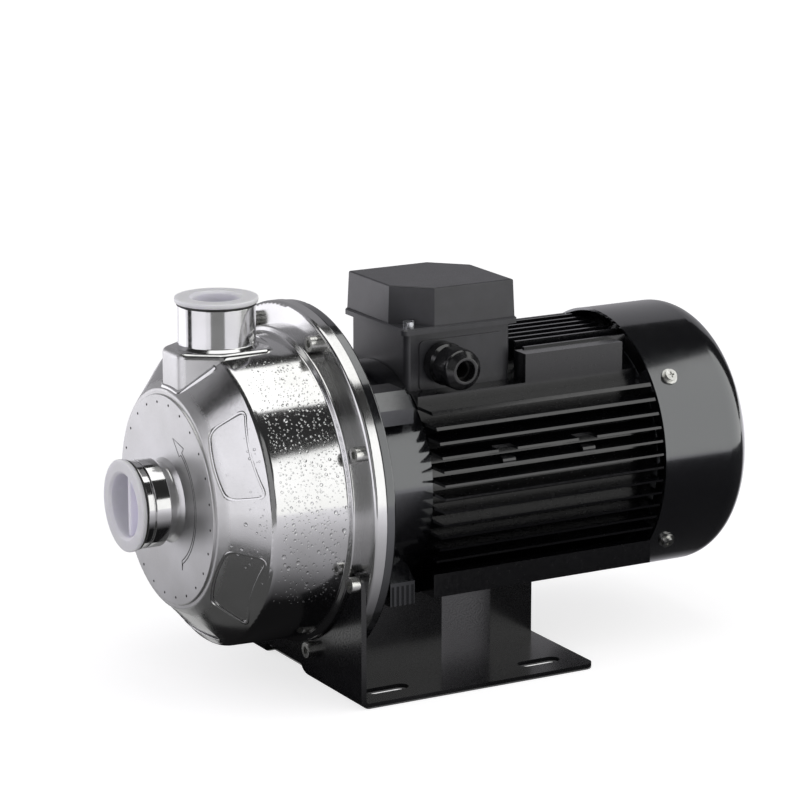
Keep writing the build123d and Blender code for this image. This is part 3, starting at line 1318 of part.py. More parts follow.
def terminal_box_base():
    """Moulded box with a bottom that fits the round frame, a side panel, a gland hole and screw pillars."""
    length = 2 * BOX_HALF_LENGTH
    width = 2 * BOX_HALF_WIDTH
    shell = upward(BOX_PLACE * rounded(length, width, BOX_CORNER), SADDLE_TOP, BOX_BASE_TOP)
    front_x = BOX_X - BOX_HALF_LENGTH - PAST
    rear_x = BOX_X + BOX_HALF_LENGTH + PAST
    shell -= ring(front_x, rear_x, HOUSING_CORE + SEAT_GAP)
    room = rounded(length - 2 * BOX_WALL, width - 2 * BOX_WALL, BOX_INNER_CORNER)
    hollow = upward(BOX_PLACE * room, SADDLE_TOP - PAST, BOX_BASE_TOP + PAST)
    shell -= hollow - ring(front_x, rear_x, HOUSING_CORE + BOX_WALL)
    block_plan = rounded(BLOCK_LENGTH, BLOCK_WIDTH, BOX_INNER_CORNER)
    step = upward(Pos(BLOCK_X, 0) * block_plan, SADDLE_TOP, BLOCK_SEAT)
    shell += step - ring(front_x, rear_x, HOUSING_CORE + BOX_WALL / 2)
    pillar = upward(Circle(LID_SCREW_INSET), SADDLE_TOP + BOX_WALL, BOX_BASE_TOP)
    tapped = Circle(LID_SCREW_RADIUS + SEAT_GAP)
    screw_hole = upward(tapped, BOX_BASE_TOP - LID_SCREW_TAPPED, BOX_BASE_TOP + PAST)
    for x, y in lid_screw_places():
        shell += Pos(x, y, 0) * pillar
        shell -= Pos(x, y, 0) * screw_hole
    wires = Pos(WIRE_HOLE_X, 0) * Circle(WIRE_HOLE)
    shell -= upward(wires, HOUSING_CORE - PAST, HOUSING_CORE + BOX_WALL + PAST)
    panel_top = BOX_BASE_TOP - BOX_PANEL_INSET
    panel_place = Pos(BOX_X + BOX_PANEL_OFFSET, (SADDLE_TOP + panel_top) / 2)
    panel = panel_place * rounded(length - BOX_PANEL_SHORTER, panel_top - SADDLE_TOP, BOX_CORNER)
    wall_face = Plane(origin=(0, -BOX_HALF_WIDTH, 0), x_dir=(1, 0, 0), z_dir=(0, -1, 0))
    shell += SHAFT_LINE * extrude(wall_face * panel, BOX_PANEL)
    shell -= gland_place() * Cylinder(GLAND_THREAD + SEAT_GAP, 30)
    return shell


def lid_screw_places():
    """The two lid screws sit in the corners that the lid's chamfers leave free."""
    x = BOX_HALF_LENGTH - LID_SCREW_INSET
    y = BOX_HALF_WIDTH - LID_SCREW_INSET
    return [(BOX_X - x, -y), (BOX_X + x, y)]


def box_gasket():
    """Flat gasket between the box and its lid."""
    length = 2 * BOX_HALF_LENGTH
    width = 2 * BOX_HALF_WIDTH
    band = 2 * BOX_WALL + GASKET_SHELF
    window = rounded(length - band, width - band, BOX_INNER_CORNER)
    frame = rounded(length, width, BOX_CORNER) - window
    corner = Circle(LID_SCREW_INSET)
    hole = Circle(LID_SCREW_HOLE)
    for x, y in lid_screw_places():
        place = Pos(x - BOX_X, y)
        frame = frame + place * corner - place * hole
    return upward(BOX_PLACE * frame, BOX_BASE_TOP, LID_BOTTOM)


def lid_plan(half_length, half_width, chamfer_size):
    """Plan of the lid's crown: a rectangle with the two screw corners cut off."""
    c = chamfer_size
    outline = Polyline(
        (-half_length, half_width),
        (-half_length, -half_width + c),
        (-half_length + c, -half_width),
        (half_length, -half_width),
        (half_length, half_width - c),
        (half_length - c, half_width),
        close=True,
    )
    return make_face(outline.edges())


def terminal_box_lid():
    """Deep lid with a flat lip and a drafted crown that leaves its two screw corners free."""
    lip_length = BOX_HALF_LENGTH + LID_OVERHANG
    lip_width = BOX_HALF_WIDTH + LID_OVERHANG
    crown_length = lip_length - LID_INSET
    crown_width = lip_width - LID_INSET
    lip = upward(BOX_PLACE * rounded(2 * lip_length, 2 * lip_width, BOX_CORNER), LID_BOTTOM, LIP_TOP)
    lip = chamfer(lip.faces().sort_by(Axis.Z)[-1].edges(), LID_EDGE)
    height = LID_TOP - LIP_TOP
    base = Plane.XY.offset(LIP_TOP)
    outside = base * BOX_PLACE * lid_plan(crown_length, crown_width, LID_CHAMFER)
    crown = SHAFT_LINE * extrude(outside, height, taper=LID_DRAFT)
    crown = fillet(crown.faces().sort_by(Axis.Z)[-1].edges(), CROWN_EDGE)
    cavity_plan = BOX_PLACE * lid_plan(crown_length - BOX_WALL, crown_width - BOX_WALL, LID_CHAMFER)
    cavity = SHAFT_LINE * extrude(base * cavity_plan, height - BOX_WALL, taper=LID_DRAFT)
    body = lip + crown - cavity - upward(cavity_plan, LID_BOTTOM - PAST, LIP_TOP + 0.1 * PAST)
    for x, y in lid_screw_places():
        body -= Pos(x, y, 0) * upward(Circle(LID_SCREW_HOLE), LID_BOTTOM - PAST, LIP_TOP + PAST)
    return body


def lid_screws():
    """Cheese-head screws of the lid."""
    head_top = LIP_TOP + LID_SCREW_HEAD_HEIGHT
    slot = Rectangle(2 * LID_SCREW_HEAD + PAST, LID_SCREW_SLOT)
    head = upward(Circle(LID_SCREW_HEAD), LIP_TOP, head_top)
    head -= upward(slot, head_top - LID_SCREW_SLOT_DEPTH, head_top + PAST)
    screw = head + upward(Circle(LID_SCREW_RADIUS), BOX_BASE_TOP - LID_SCREW_REACH, LIP_TOP)
    return Compound(children=[Pos(x, y, 0) * screw for x, y in lid_screw_places()])


def terminal_block():
    """Insulating block with its two rows of three studs."""
    top = BLOCK_SEAT + BLOCK_HEIGHT
    body = upward(Pos(BLOCK_X, 0) * rounded(BLOCK_LENGTH, BLOCK_WIDTH, BOX_INNER_CORNER), BLOCK_SEAT, top)
    stud = upward(Circle(STUD_RADIUS), top, top + STUD_HEIGHT)
    for x in (-BLOCK_LENGTH / 4, BLOCK_LENGTH / 4):
        for y in (-BLOCK_WIDTH / 3, 0, BLOCK_WIDTH / 3):
            body += Pos(BLOCK_X + x, y, 0) * stud
    return body


def gland_place():
    """Place on the box wall where the cable enters, z pointing out of the box."""
    return SHAFT_LINE * Pos(GLAND_X, -BOX_HALF_WIDTH, GLAND_Z) * Rot(90, 0, 0)


def turned_gland(*corners):
    """Solid of revolution about the gland's axis from corners (radius, distance from the box, fillet)."""
    points = [(corner[0], corner[1]) for corner in corners]
    fillets = [corner[2] if len(corner) > 2 else 0 for corner in corners]
    outline = FilletPolyline(*points, radius=fillets, close=True)
    return gland_place() * revolve(Plane.XZ * make_face(outline.edges()), Axis.Z, 360)


def gland_body():
    """Gland body: thread through the box wall, collar and clamping sleeve."""
    inner = GLAND_BORE + GLAND_WALL
    tail = -BOX_WALL - GLAND_TAIL
    throat = GLAND_SLEEVE_END - GLAND_TAIL
    return turned_gland(
        (inner, tail),
        (GLAND_THREAD, tail, 0.5),
        (GLAND_THREAD, BOX_PANEL),
        (GLAND_COLLAR_RADIUS, BOX_PANEL, 1.0),
        (GLAND_COLLAR_RADIUS, GLAND_COLLAR - GLAND_SHOULDER_LENGTH, 1.5),
        (GLAND_SLEEVE + GLAND_SHOULDER, GLAND_COLLAR, 0.5),
        (GLAND_SLEEVE, GLAND_COLLAR),
        (GLAND_SLEEVE, throat),
        (inner, throat),
    )


def gland_seal():
    """Rubber ring that grips the cable."""
    outer = GLAND_BORE + GLAND_WALL - SEAT_GAP
    return turned_gland(
        (GLAND_BORE, GLAND_COLLAR),
        (outer, GLAND_COLLAR),
        (outer, GLAND_SLEEVE_END, 0.6),
        (GLAND_BORE, GLAND_SLEEVE_END),
    )


def gland_nut():
    """Domed clamping nut with grip flats, screwed on the gland body."""
    thread = GLAND_SLEEVE + SEAT_GAP
    mouth = GLAND_BORE + GLAND_MOUTH_GAP
    foot = GLAND_COLLAR + PASS_GAP
    seal_stop = GLAND_SLEEVE_END + PASS_GAP
    dome = turned_gland(
        (thread, foot),
        (GLAND_NUT_RADIUS, foot, 0.6),
        (GLAND_NUT_RADIUS, GLAND_END - GLAND_DOME, 2.6),
        (mouth + GLAND_MOUTH_RIM, GLAND_END, 0.8),
        (mouth, GLAND_END, 0.6),
        (mouth, seal_stop),
        (GLAND_BORE + GLAND_WALL, seal_stop),
        (thread, GLAND_SLEEVE_END - GLAND_SHOULDER_LENGTH),
    )
    flat_block = Box(2 * GLAND_NUT_RADIUS, 4 * PAST, GLAND_FLAT_LENGTH)
    flat_place = Pos(0, GLAND_NUT_RADIUS - GLAND_FLAT_DEPTH + 2 * PAST, foot + GLAND_FLAT_LENGTH / 2)
    for i in range(GLAND_FLATS):
        dome -= gland_place() * Rot(0, 0, 360 / GLAND_FLATS * i) * flat_place * flat_block
    return dome


# Foot

def foot_bracket():
    """Bent steel foot: front plate around the casing, base plate with four slots and a drain notch."""
    side_view = FilletPolyline(
        (-FOOT_SHEET, FOOT_EAR_TOP),
        (-FOOT_SHEET, FLOOR),
        (FOOT_REAR_X, FLOOR),
        (FOOT_REAR_X, SHEET_TOP),
        (0, SHEET_TOP),
        (0, FOOT_EAR_TOP),
        radius=[0, FOOT_BEND, 0, 0, FOOT_BEND - FOOT_SHEET, 0],
        close=True,
    )
    width = 2 * FOOT_HALF_WIDTH
    bent = SHAFT_LINE * extrude(Plane.XZ * make_face(side_view.edges()), FOOT_HALF_WIDTH, both=True)
    height = FOOT_EAR_TOP - FLOOR
    front_view = Pos(0, FLOOR + height / 2) * rounded(width, height, FOOT_EAR_CORNER)
    front_view += Pos(0, FLOOR + FOOT_BEND) * Rectangle(width, 2 * FOOT_BEND)
    front_view -= Circle(BEAD_RADIUS + PASS_GAP)
    length = FOOT_REAR_X + FOOT_SHEET
    plan = Pos(FOOT_REAR_X - length / 2, 0) * rounded(length, width, FOOT_CORNER)
    plan += Pos(FOOT_BEND - FOOT_SHEET, 0) * Rectangle(2 * FOOT_BEND, width)
    body = bent & across(front_view, -FOOT_SHEET, FOOT_REAR_X)
    body = body & upward(plan, FLOOR, FOOT_EAR_TOP)
    notch_top = FLOOR + NOTCH_HEIGHT
    narrow = NOTCH_HALF_WIDTH - NOTCH_SLOPE
    notch = Polyline(
        (-NOTCH_HALF_WIDTH, FLOOR),
        (-narrow, notch_top),
        (narrow, notch_top),
        (NOTCH_HALF_WIDTH, FLOOR),
        close=True,
    )
    body -= across(make_face(notch.edges()), -FOOT_SHEET - PAST, FOOT_BEND)
    for hole in screw_holes(-FOOT_SHEET - PAST, PAST, SCREW_GAP):
        body -= hole
    slot = SlotOverall(SLOT_LENGTH, 2 * SLOT_HALF_WIDTH)
    for x in (-SLOT_SPACING_X / 2, SLOT_SPACING_X / 2):
        for y in (-SLOT_SPACING_Y / 2, SLOT_SPACING_Y / 2):
            body -= Pos(x, y, -PAST) * extrude(slot, FOOT_SHEET + 2 * PAST)
    return body


def channel(front_x, rear_x, half_width, bolt_x):
    """Folded channel, open downwards and at both ends, that carries the motor's feet."""
    height = RAIL_BOTTOM - SHEET_TOP
    sheet = FOOT_SHEET
    outer = Pos(0, SHEET_TOP + height / 2) * Rectangle(2 * half_width, height)
    inner = Pos(0, SHEET_TOP + (height - sheet) / 2) * Rectangle(2 * (half_width - sheet), height - sheet)
    body = across(outer - inner, front_x, rear_x)
    hole = upward(Circle(SUPPORT_BOLT_RADIUS + PASS_GAP), RAIL_BOTTOM - sheet - PAST, RAIL_BOTTOM + PAST)
    for y in (-SUPPORT_BOLT_Y, SUPPORT_BOLT_Y):
        body -= Pos(bolt_x, y, 0) * hole
    return body


def front_support():
    """Front channel, closed at its rear end and cut out around the barrel of the end shield."""
    front_x = FRONT_SUPPORT_X
    rear_x = FRONT_SUPPORT_REAR_X
    body = channel(front_x, rear_x, FRONT_SUPPORT_HALF_WIDTH, FRONT_BOLT_X)
    body += end_wall(rear_x - FOOT_SHEET, FRONT_SUPPORT_HALF_WIDTH)
    body -= ring(front_x - PAST, HOUSING_FRONT_X + PASS_GAP, SHIELD_RADIUS + PASS_GAP)
    return body - ring(front_x - PAST, SHIELD_FLANGE_X + 5 * PASS_GAP, SHIELD_FLANGE + PASS_GAP)


def end_wall(x, half_width):
    """Wall that closes one end of a channel."""
    height = RAIL_BOTTOM - SHEET_TOP
    wall = Pos(0, SHEET_TOP + height / 2) * Rectangle(2 * half_width, height)
    return across(wall, x, x + FOOT_SHEET)


def rear_support():
    """Rear channel, closed at its front end."""
    body = channel(REAR_SUPPORT_X, REAR_SUPPORT_REAR_X, REAR_SUPPORT_HALF_WIDTH, REAR_BOLT_X)
    return body + end_wall(REAR_SUPPORT_X, REAR_SUPPORT_HALF_WIDTH)


def support_bolts():
    """Hexagon bolts up through the supports into the motor's feet."""
    under_web = RAIL_BOTTOM - FOOT_SHEET
    hexagon = RegularPolygon(SUPPORT_BOLT_FLATS / 2, 6, major_radius=False)
    head = upward(hexagon, under_web - SUPPORT_BOLT_HEAD, under_web)
    shank = upward(Circle(SUPPORT_BOLT_RADIUS - THREAD_GAP), under_web, RAIL_BOTTOM + SUPPORT_BOLT_REACH)
    bolts = []
    for x in (FRONT_BOLT_X, REAR_BOLT_X):
        for y in (-SUPPORT_BOLT_Y, SUPPORT_BOLT_Y):
            bolts.append(Pos(x, y, 0) * (head + shank))
    return Compound(children=bolts)


PIECES = {
    "pump_casing": pump_casing,
    "suction_port": suction_port,
    "discharge_port": discharge_port,
    "suction_plug": suction_plug,
    "suction_plug_gasket": suction_plug_gasket,
    "discharge_plug": discharge_plug,
    "discharge_plug_gasket": discharge_plug_gasket,
    "casing_back_cover": casing_back_cover,
    "casing_o_ring": casing_o_ring,
    "seal_seat": seal_seat,
    "seal_head": seal_head,
    "adapter_flange": adapter_flange,
    "adapter_screws": adapter_screws,
    "casing_screws": casing_screws,
    "impeller": impeller,
    "impeller_key": impeller_key,
    "impeller_washer": impeller_washer,
    "impeller_nut": impeller_nut,
    "wear_ring": wear_ring,
    "motor_shaft": motor_shaft,
    "front_bearing": front_bearing,
    "rear_bearing": rear_bearing,
    "front_end_shield": front_end_shield,
    "motor_housing": motor_housing,
    "stator_core": stator_core,
    "front_winding": front_winding,
    "rear_winding": rear_winding,
    "rotor_core": rotor_core,
    "rear_end_shield": rear_end_shield,
    "end_shield_screws": end_shield_screws,
    "fan": fan,
    "fan_cover": fan_cover,
    "fan_cover_screws": fan_cover_screws,
    "terminal_box_base": terminal_box_base,
    "box_gasket": box_gasket,
    "terminal_box_lid": terminal_box_lid,
    "lid_screws": lid_screws,
    "terminal_block": terminal_block,
    "gland_body": gland_body,
    "gland_seal": gland_seal,
    "gland_nut": gland_nut,
    "foot_bracket": foot_bracket,
    "front_support": front_support,
    "rear_support": rear_support,
    "support_bolts": support_bolts,
}

os.makedirs("parts", exist_ok=True)
for name, make in PIECES.items():
    piece = make()
    export_step(piece, f"parts/{name}.step")
    print(name, round(piece.volume), "mm3")
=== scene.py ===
# %% [markdown]
# This pump is a small single-stage centrifugal pump. A pressed stainless casing is clamped to a
# black motor, and both stand on a bent steel foot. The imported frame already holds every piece
# that fits or turns, at its real size. What is left is the look: the finish of each metal, paint
# and plastic, the fine marks that a press and a lathe leave, and a pale studio round it.

# %% Load the frame
import bpy
import json
import math
import numpy as np
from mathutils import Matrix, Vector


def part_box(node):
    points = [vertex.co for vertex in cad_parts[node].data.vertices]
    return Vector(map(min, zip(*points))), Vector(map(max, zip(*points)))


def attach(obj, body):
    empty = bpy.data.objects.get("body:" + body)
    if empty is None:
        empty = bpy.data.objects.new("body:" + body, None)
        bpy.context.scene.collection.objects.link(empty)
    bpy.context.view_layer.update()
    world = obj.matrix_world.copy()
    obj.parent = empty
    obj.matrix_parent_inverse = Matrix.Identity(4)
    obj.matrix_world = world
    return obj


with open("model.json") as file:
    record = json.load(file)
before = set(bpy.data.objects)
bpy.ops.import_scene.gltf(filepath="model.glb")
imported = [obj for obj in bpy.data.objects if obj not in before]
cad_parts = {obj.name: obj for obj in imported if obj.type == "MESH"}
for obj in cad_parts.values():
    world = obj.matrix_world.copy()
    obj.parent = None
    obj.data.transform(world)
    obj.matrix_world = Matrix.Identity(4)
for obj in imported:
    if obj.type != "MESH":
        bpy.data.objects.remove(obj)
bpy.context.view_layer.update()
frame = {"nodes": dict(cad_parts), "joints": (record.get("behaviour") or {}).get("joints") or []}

# %% [markdown]
# Places come from the frame. The joint that turns the rotor lies on the shaft line, at the front
# face of the casing flange, so it gives both the height of the shaft and the place of the flange.
# All the pressed and turned shapes are drawn about that line.

# %% The shaft line
spin = next(joint for joint in frame["joints"] if joint["name"] == "rotor_spin")
FLANGE_X, AXIS_Y, AXIS_Z = spin["pos_m"]
FACE_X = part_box("pump_casing")[0].x
print("shaft line at height", AXIS_Z, "flange at", FLANGE_X, "face disc at", FACE_X)

# %% [markdown]
# The camera stands where the photographer stood: to the left of the pump and a little above it,
# far enough away for a long lens, so that the casing's rings stay nearly round. A direction is
# given by its heading in the plan and its dip below the horizon.

# %% Camera
CAMERA_PLACE = (-0.9153, -1.6290, 0.5995)
CAMERA_HEADING = math.radians(60.65)
CAMERA_DIP = math.radians(13.76)
LENS_MM = 156.46
SENSOR_MM = 36.0

lens = bpy.data.cameras.new("studio_camera")
lens.lens = LENS_MM
lens.sensor_width = SENSOR_MM
lens.dof.use_dof = False
camera = bpy.data.objects.new("studio_camera", lens)
camera.location = CAMERA_PLACE
camera.rotation_euler = (math.pi / 2 - CAMERA_DIP, 0.0, CAMERA_HEADING - math.pi / 2)
bpy.context.scene.collection.objects.link(camera)
bpy.context.scene.camera = camera
bpy.context.scene.view_settings.view_transform = "Standard"
print("camera at", CAMERA_PLACE, "with a lens of", LENS_MM, "mm")

# %% [markdown]
# A mesh made from arrays is the base of every new piece. The helper takes points and four-sided
# faces as whole arrays, and writes them into the mesh in one go, which is quick and keeps the
# shape's formula in one place.

# %% Mesh from arrays
def mesh_from(name, points, faces, smooth=True):
    """Object whose mesh has the given points (n, 3) and faces (m, 3 or 4), placed by its points."""
    points = np.asarray(points, dtype=np.float32).reshape(-1, 3)
    faces = np.asarray(faces, dtype=np.int32)
    sides = faces.shape[1]
    mesh = bpy.data.meshes.new(name)
    mesh.vertices.add(len(points))
    mesh.vertices.foreach_set("co", points.ravel())
    mesh.loops.add(faces.size)
    mesh.loops.foreach_set("vertex_index", faces.ravel())
    mesh.polygons.add(len(faces))
    mesh.polygons.foreach_set("loop_start", np.arange(0, faces.size, sides, dtype=np.int32))
    mesh.polygons.foreach_set("use_smooth", np.full(len(faces), smooth))
    mesh.update(calc_edges=True)
    mesh.validate()
    made = bpy.data.objects.new(name, mesh)
    bpy.context.scene.collection.objects.link(made)
    return made


# %% [markdown]
# A material is a net of small nodes. These helpers make what comes back in many of them: a value
# stretched to another range, two values joined into one, and a grey that follows a list of levels.

# %% Node helpers
PATTERN_RANGE = (0.3, 0.7)


def span(nodes, links, value, low, high, source=PATTERN_RANGE):
    """Stretch the source range of a value, or a pattern's middle range, to run from low to high."""
    change = nodes.new("ShaderNodeMapRange")
    change.inputs["From Min"].default_value = source[0]
    change.inputs["From Max"].default_value = source[1]
    change.inputs["To Min"].default_value = low
    change.inputs["To Max"].default_value = high
    links.new(value, change.inputs["Value"])
    return change.outputs["Result"]


def combined(nodes, links, operation, first, second):
    """Two values joined by an operation, such as their product or the larger of them."""
    join = nodes.new("ShaderNodeMath")
    join.operation = operation
    links.new(first, join.inputs[0])
    links.new(second, join.inputs[1])
    return join.outputs[0]


def grey_ramp(nodes, links, value, pairs):
    """Grey that follows the pairs (place from 0 to 1, level) along a value."""
    ramp = nodes.new("ShaderNodeValToRGB")
    steps = ramp.color_ramp.elements
    steps[0].position, steps[1].position = pairs[0][0], pairs[-1][0]
    for place, _ in pairs[1:-1]:
        steps.new(place)
    for step, (_, level) in zip(steps, pairs):
        step.color = (level, level, level, 1.0)
    links.new(value, ramp.inputs["Fac"])
    return ramp.outputs["Color"]


# %% [markdown]
# Metal only looks like metal when it has something to mirror. The studio is a pale floor under a
# pale sky, with soft white panels to the right, above, to the left and behind, a grey wall, and
# darker cards between them that put dark bands into the steel, the way a product photographer
# works. Two small cards lie on the floor by the casing for its lower half to mirror: one carries
# painted floor shade in front of the casing, the other a painted patch of lit floor under it. All
# cards are out of the camera's sight, and the dark ones and the two on the floor show in
# reflections only, so they neither light the pump nor take light from it.

# %% Studio panels
def glowing(made, brightness, tint=(1.0, 1.0, 1.0), gives_light=True):
    """Give a stage mesh an even glow that the camera doesn't see directly."""
    material = bpy.data.materials.new(made.name)
    material.use_nodes = True
    nodes = material.node_tree.nodes
    nodes.clear()
    glow = nodes.new("ShaderNodeEmission")
    glow.inputs["Color"].default_value = (*tint, 1.0)
    glow.inputs["Strength"].default_value = brightness
    output = nodes.new("ShaderNodeOutputMaterial")
    material.node_tree.links.new(glow.outputs["Emission"], output.inputs["Surface"])
    made.data.materials.append(material)
    made.visible_camera = False
    made.visible_diffuse = gives_light
    made.visible_shadow = False
    return made


ABOVE_FLOOR = 0.004
CASING_MIDDLE_X = FLANGE_X - 0.03


def upright(left, right, top_left, top_right, bottom=ABOVE_FLOOR):
    """Corners of a standing panel between two places (x, y), with a top that may slope."""
    return [(*left, bottom), (*right, bottom), (*right, top_right), (*left, top_left)]


def lying(x_low, x_high, y_low, y_high, height):
    """Corners of a level panel."""
    plan = [(x_low, y_low), (x_high, y_low), (x_high, y_high), (x_low, y_high)]
    return [(x, y, height) for x, y in plan]


def around_casing(heading, distance):
    """Place (x, y) at a heading from +Y towards +X, in degrees, and a distance from the casing."""
    turn = math.radians(heading)
    return (CASING_MIDDLE_X + distance * math.sin(turn), distance * math.cos(turn))


def panel(name, corners, *look, **more):
    """Flat four-cornered panel that shines evenly."""
    return glowing(mesh_from(name, corners, [[0, 1, 2, 3]], smooth=False), *look, **more)


NEAR_SOFTBOX, TOP_SOFTBOX, LEFT_SOFTBOX, BACK_SOFTBOX = 1.55, 1.75, 1.35, 1.75
GREY_WALL, GREY_CORNER = 0.34, 0.42
DARK_EDGE, DARK_STAND, FRONT_FLOOR_SHADE, LIT_FLOOR = 0.02, 0.30, 0.09, 0.55
FRONT_SHADE_HEIGHT, LIT_HEIGHT = 0.0012, 0.0014
WHITE = (1.0, 1.0, 0.985)
LAVENDER = (0.965, 0.95, 1.0)
near_card = upright((0.04, -1.413), (0.995, -0.128), 0.51, 1.32)
above_card = lying(-0.35, 0.38, -0.30, 0.30, 0.91)
left_card = upright(around_casing(-76, 0.72), around_casing(-122, 0.78), 0.80, 0.62)
back_left_card = upright(around_casing(-12, 0.72), around_casing(-54, 0.72), 0.34, 0.34)
wall_card = upright((-0.9, 1.1), (2.6, 1.1), 1.7, 1.9)
corner_card = upright(around_casing(-24, 0.95), around_casing(-70, 0.85), 0.95, 0.80, bottom=0.40)
edge_card = upright(around_casing(-62, 0.70), around_casing(-77, 0.71), 0.9, 0.9)
stand_card = upright(around_casing(-136, 0.62), around_casing(-176, 0.62), 0.75, 0.75)
panel("near_softbox", near_card, NEAR_SOFTBOX, WHITE)
panel("top_softbox", above_card, TOP_SOFTBOX, WHITE)
panel("left_softbox", left_card, LEFT_SOFTBOX, LAVENDER)
panel("back_left_softbox", back_left_card, BACK_SOFTBOX, LAVENDER)
panel("grey_wall", wall_card, GREY_WALL, LAVENDER)
panel("grey_corner", corner_card, GREY_CORNER, LAVENDER)
panel("dark_edge", edge_card, DARK_EDGE, gives_light=False)
panel("dark_stand", stand_card, DARK_STAND, gives_light=False)
# Painted floor shade in front of the casing, and a painted patch of lit floor under it, both seen in
# reflections only.
panel("dark_front", lying(-0.33, -0.14, -0.15, 0.0, FRONT_SHADE_HEIGHT), FRONT_FLOOR_SHADE, gives_light=False)
panel("lit_floor", lying(-0.180, -0.112, 0.012, 0.085, LIT_HEIGHT), LIT_FLOOR, gives_light=False)
print("the near softbox shines at", NEAR_SOFTBOX, "and the top one at", TOP_SOFTBOX)

# %% [markdown]
# The floor is pale and keeps the shadow. Its colour alone would render light grey, so a share of
# plain white is added for the rays that go from the camera, from a mirror surface or through a
# clear one, and the share grows with the distance, where less light falls. The pump is lit by the
# panels, by the sky and by what the floor throws back.

# %% Floor and sky
FLOOR_COLOUR = (0.50, 0.495, 0.505, 1.0)
FLOOR_LIFT_NEAR = 0.72
FLOOR_LIFT_FAR = 0.96
FLOOR_NEAR, FLOOR_FAR = 0.6, 1.8
FLOOR_HALF, FLOOR_HEIGHT = 14.0, -0.0003
SKY_LIGHT = 0.45
ROOM_RADIUS, ROOM_GLOW = 7.0, 0.03


def seen_directly(nodes, links):
    """1 for rays from the camera, from a mirror surface or through a clear one, and otherwise 0."""
    rays = nodes.new("ShaderNodeLightPath").outputs
    either = combined(nodes, links, "MAXIMUM", rays["Is Camera Ray"], rays["Is Glossy Ray"])
    return combined(nodes, links, "MAXIMUM", either, rays["Is Transmission Ray"])


def make_floor(half=FLOOR_HALF):
    """Wide level floor just under the foot."""
    square = lying(-half, half, -half, half, FLOOR_HEIGHT)
    floor = mesh_from("pale_floor", square, [[0, 1, 2, 3]], smooth=False)
    material = bpy.data.materials.new("pale_floor")
    material.use_nodes = True
    nodes, links = material.node_tree.nodes, material.node_tree.links
    nodes.clear()
    matt = nodes.new("ShaderNodeBsdfDiffuse")
    matt.inputs["Color"].default_value = FLOOR_COLOUR
    distance = nodes.new("ShaderNodeVectorMath")
    distance.operation = "LENGTH"
    links.new(nodes.new("ShaderNodeTexCoord").outputs["Object"], distance.inputs[0])
    grow = span(nodes, links, distance.outputs["Value"], FLOOR_LIFT_NEAR, FLOOR_LIFT_FAR,
                (FLOOR_NEAR, FLOOR_FAR))
    lift = combined(nodes, links, "MULTIPLY", seen_directly(nodes, links), grow)
    glow = nodes.new("ShaderNodeEmission")
    links.new(lift, glow.inputs["Strength"])
    both = nodes.new("ShaderNodeAddShader")
    links.new(matt.outputs[0], both.inputs[0])
    links.new(glow.outputs[0], both.inputs[1])
    output = nodes.new("ShaderNodeOutputMaterial")
    links.new(both.outputs[0], output.inputs["Surface"])
    floor.data.materials.append(material)
    return floor


def make_sky():
    """Even pale sky: soft light on the pump, plain white where it is seen."""
    world = bpy.data.worlds.new("pale_sky")
    world.use_nodes = True
    nodes, links = world.node_tree.nodes, world.node_tree.links
    sky = nodes["Background"]
    sky.inputs["Color"].default_value = (1.0, 1.0, 1.0, 1.0)
    level = span(nodes, links, seen_directly(nodes, links), SKY_LIGHT, 1.0, (0.0, 1.0))
    links.new(level, sky.inputs["Strength"])
    bpy.context.scene.world = world


def make_room(radius=ROOM_RADIUS, rows=12, columns=24):
    """Dim studio ceiling and walls, a half sphere that shows in reflections only."""
    rise = np.linspace(0, np.pi / 2, rows)[:, None]
    turn = np.linspace(0, 2 * np.pi, columns, endpoint=False)[None, :]
    x = np.cos(rise) * np.cos(turn)
    y = np.cos(rise) * np.sin(turn)
    z = np.sin(rise) * np.ones_like(turn)
    points = radius * np.stack([x, y, z], axis=-1)
    grid = np.arange(rows * columns).reshape(rows, columns)
    right = np.roll(grid, -1, axis=1)
    faces = np.stack([grid[:-1], grid[1:], right[1:], right[:-1]], axis=-1).reshape(-1, 4)
    return glowing(mesh_from("dim_room", points, faces), ROOM_GLOW, gives_light=False)


make_floor()
make_sky()
make_room()
print("floor, sky and room are in place")

# %% [markdown]
# Close to the pump the floor lies in the pump's own shade, and a mirror shows it. A low card, seen
# in reflections only, carries that shade as painted shade: nearly black under the casing, grey at a
# hand's width, pale at half a metre, and painted darker still in the motor's direction.

# %% Shaded floor, for reflections
SHADE = ((0.085, 0.01), (0.12, 0.15), (0.17, 0.42), (0.26, 0.60), (0.36, 0.78), (0.55, 1.02), (0.95, 1.20))
SHADE_LOW, SHADE_HIGH, SHADE_HEIGHT = -1.1, 1.3, 0.0008
# The painted dark band towards the motor: its slope, edge, front and back ends, and the share of glow left
# under it.
MOTOR_DARK_SLOPE = 0.56
MOTOR_DARK_EDGE = (-0.105, -0.045)
MOTOR_DARK_FRONT = (-0.62, -0.56)
MOTOR_DARK_BACK = (-0.02, 0.06)
MOTOR_DARK_SHARE = 0.05


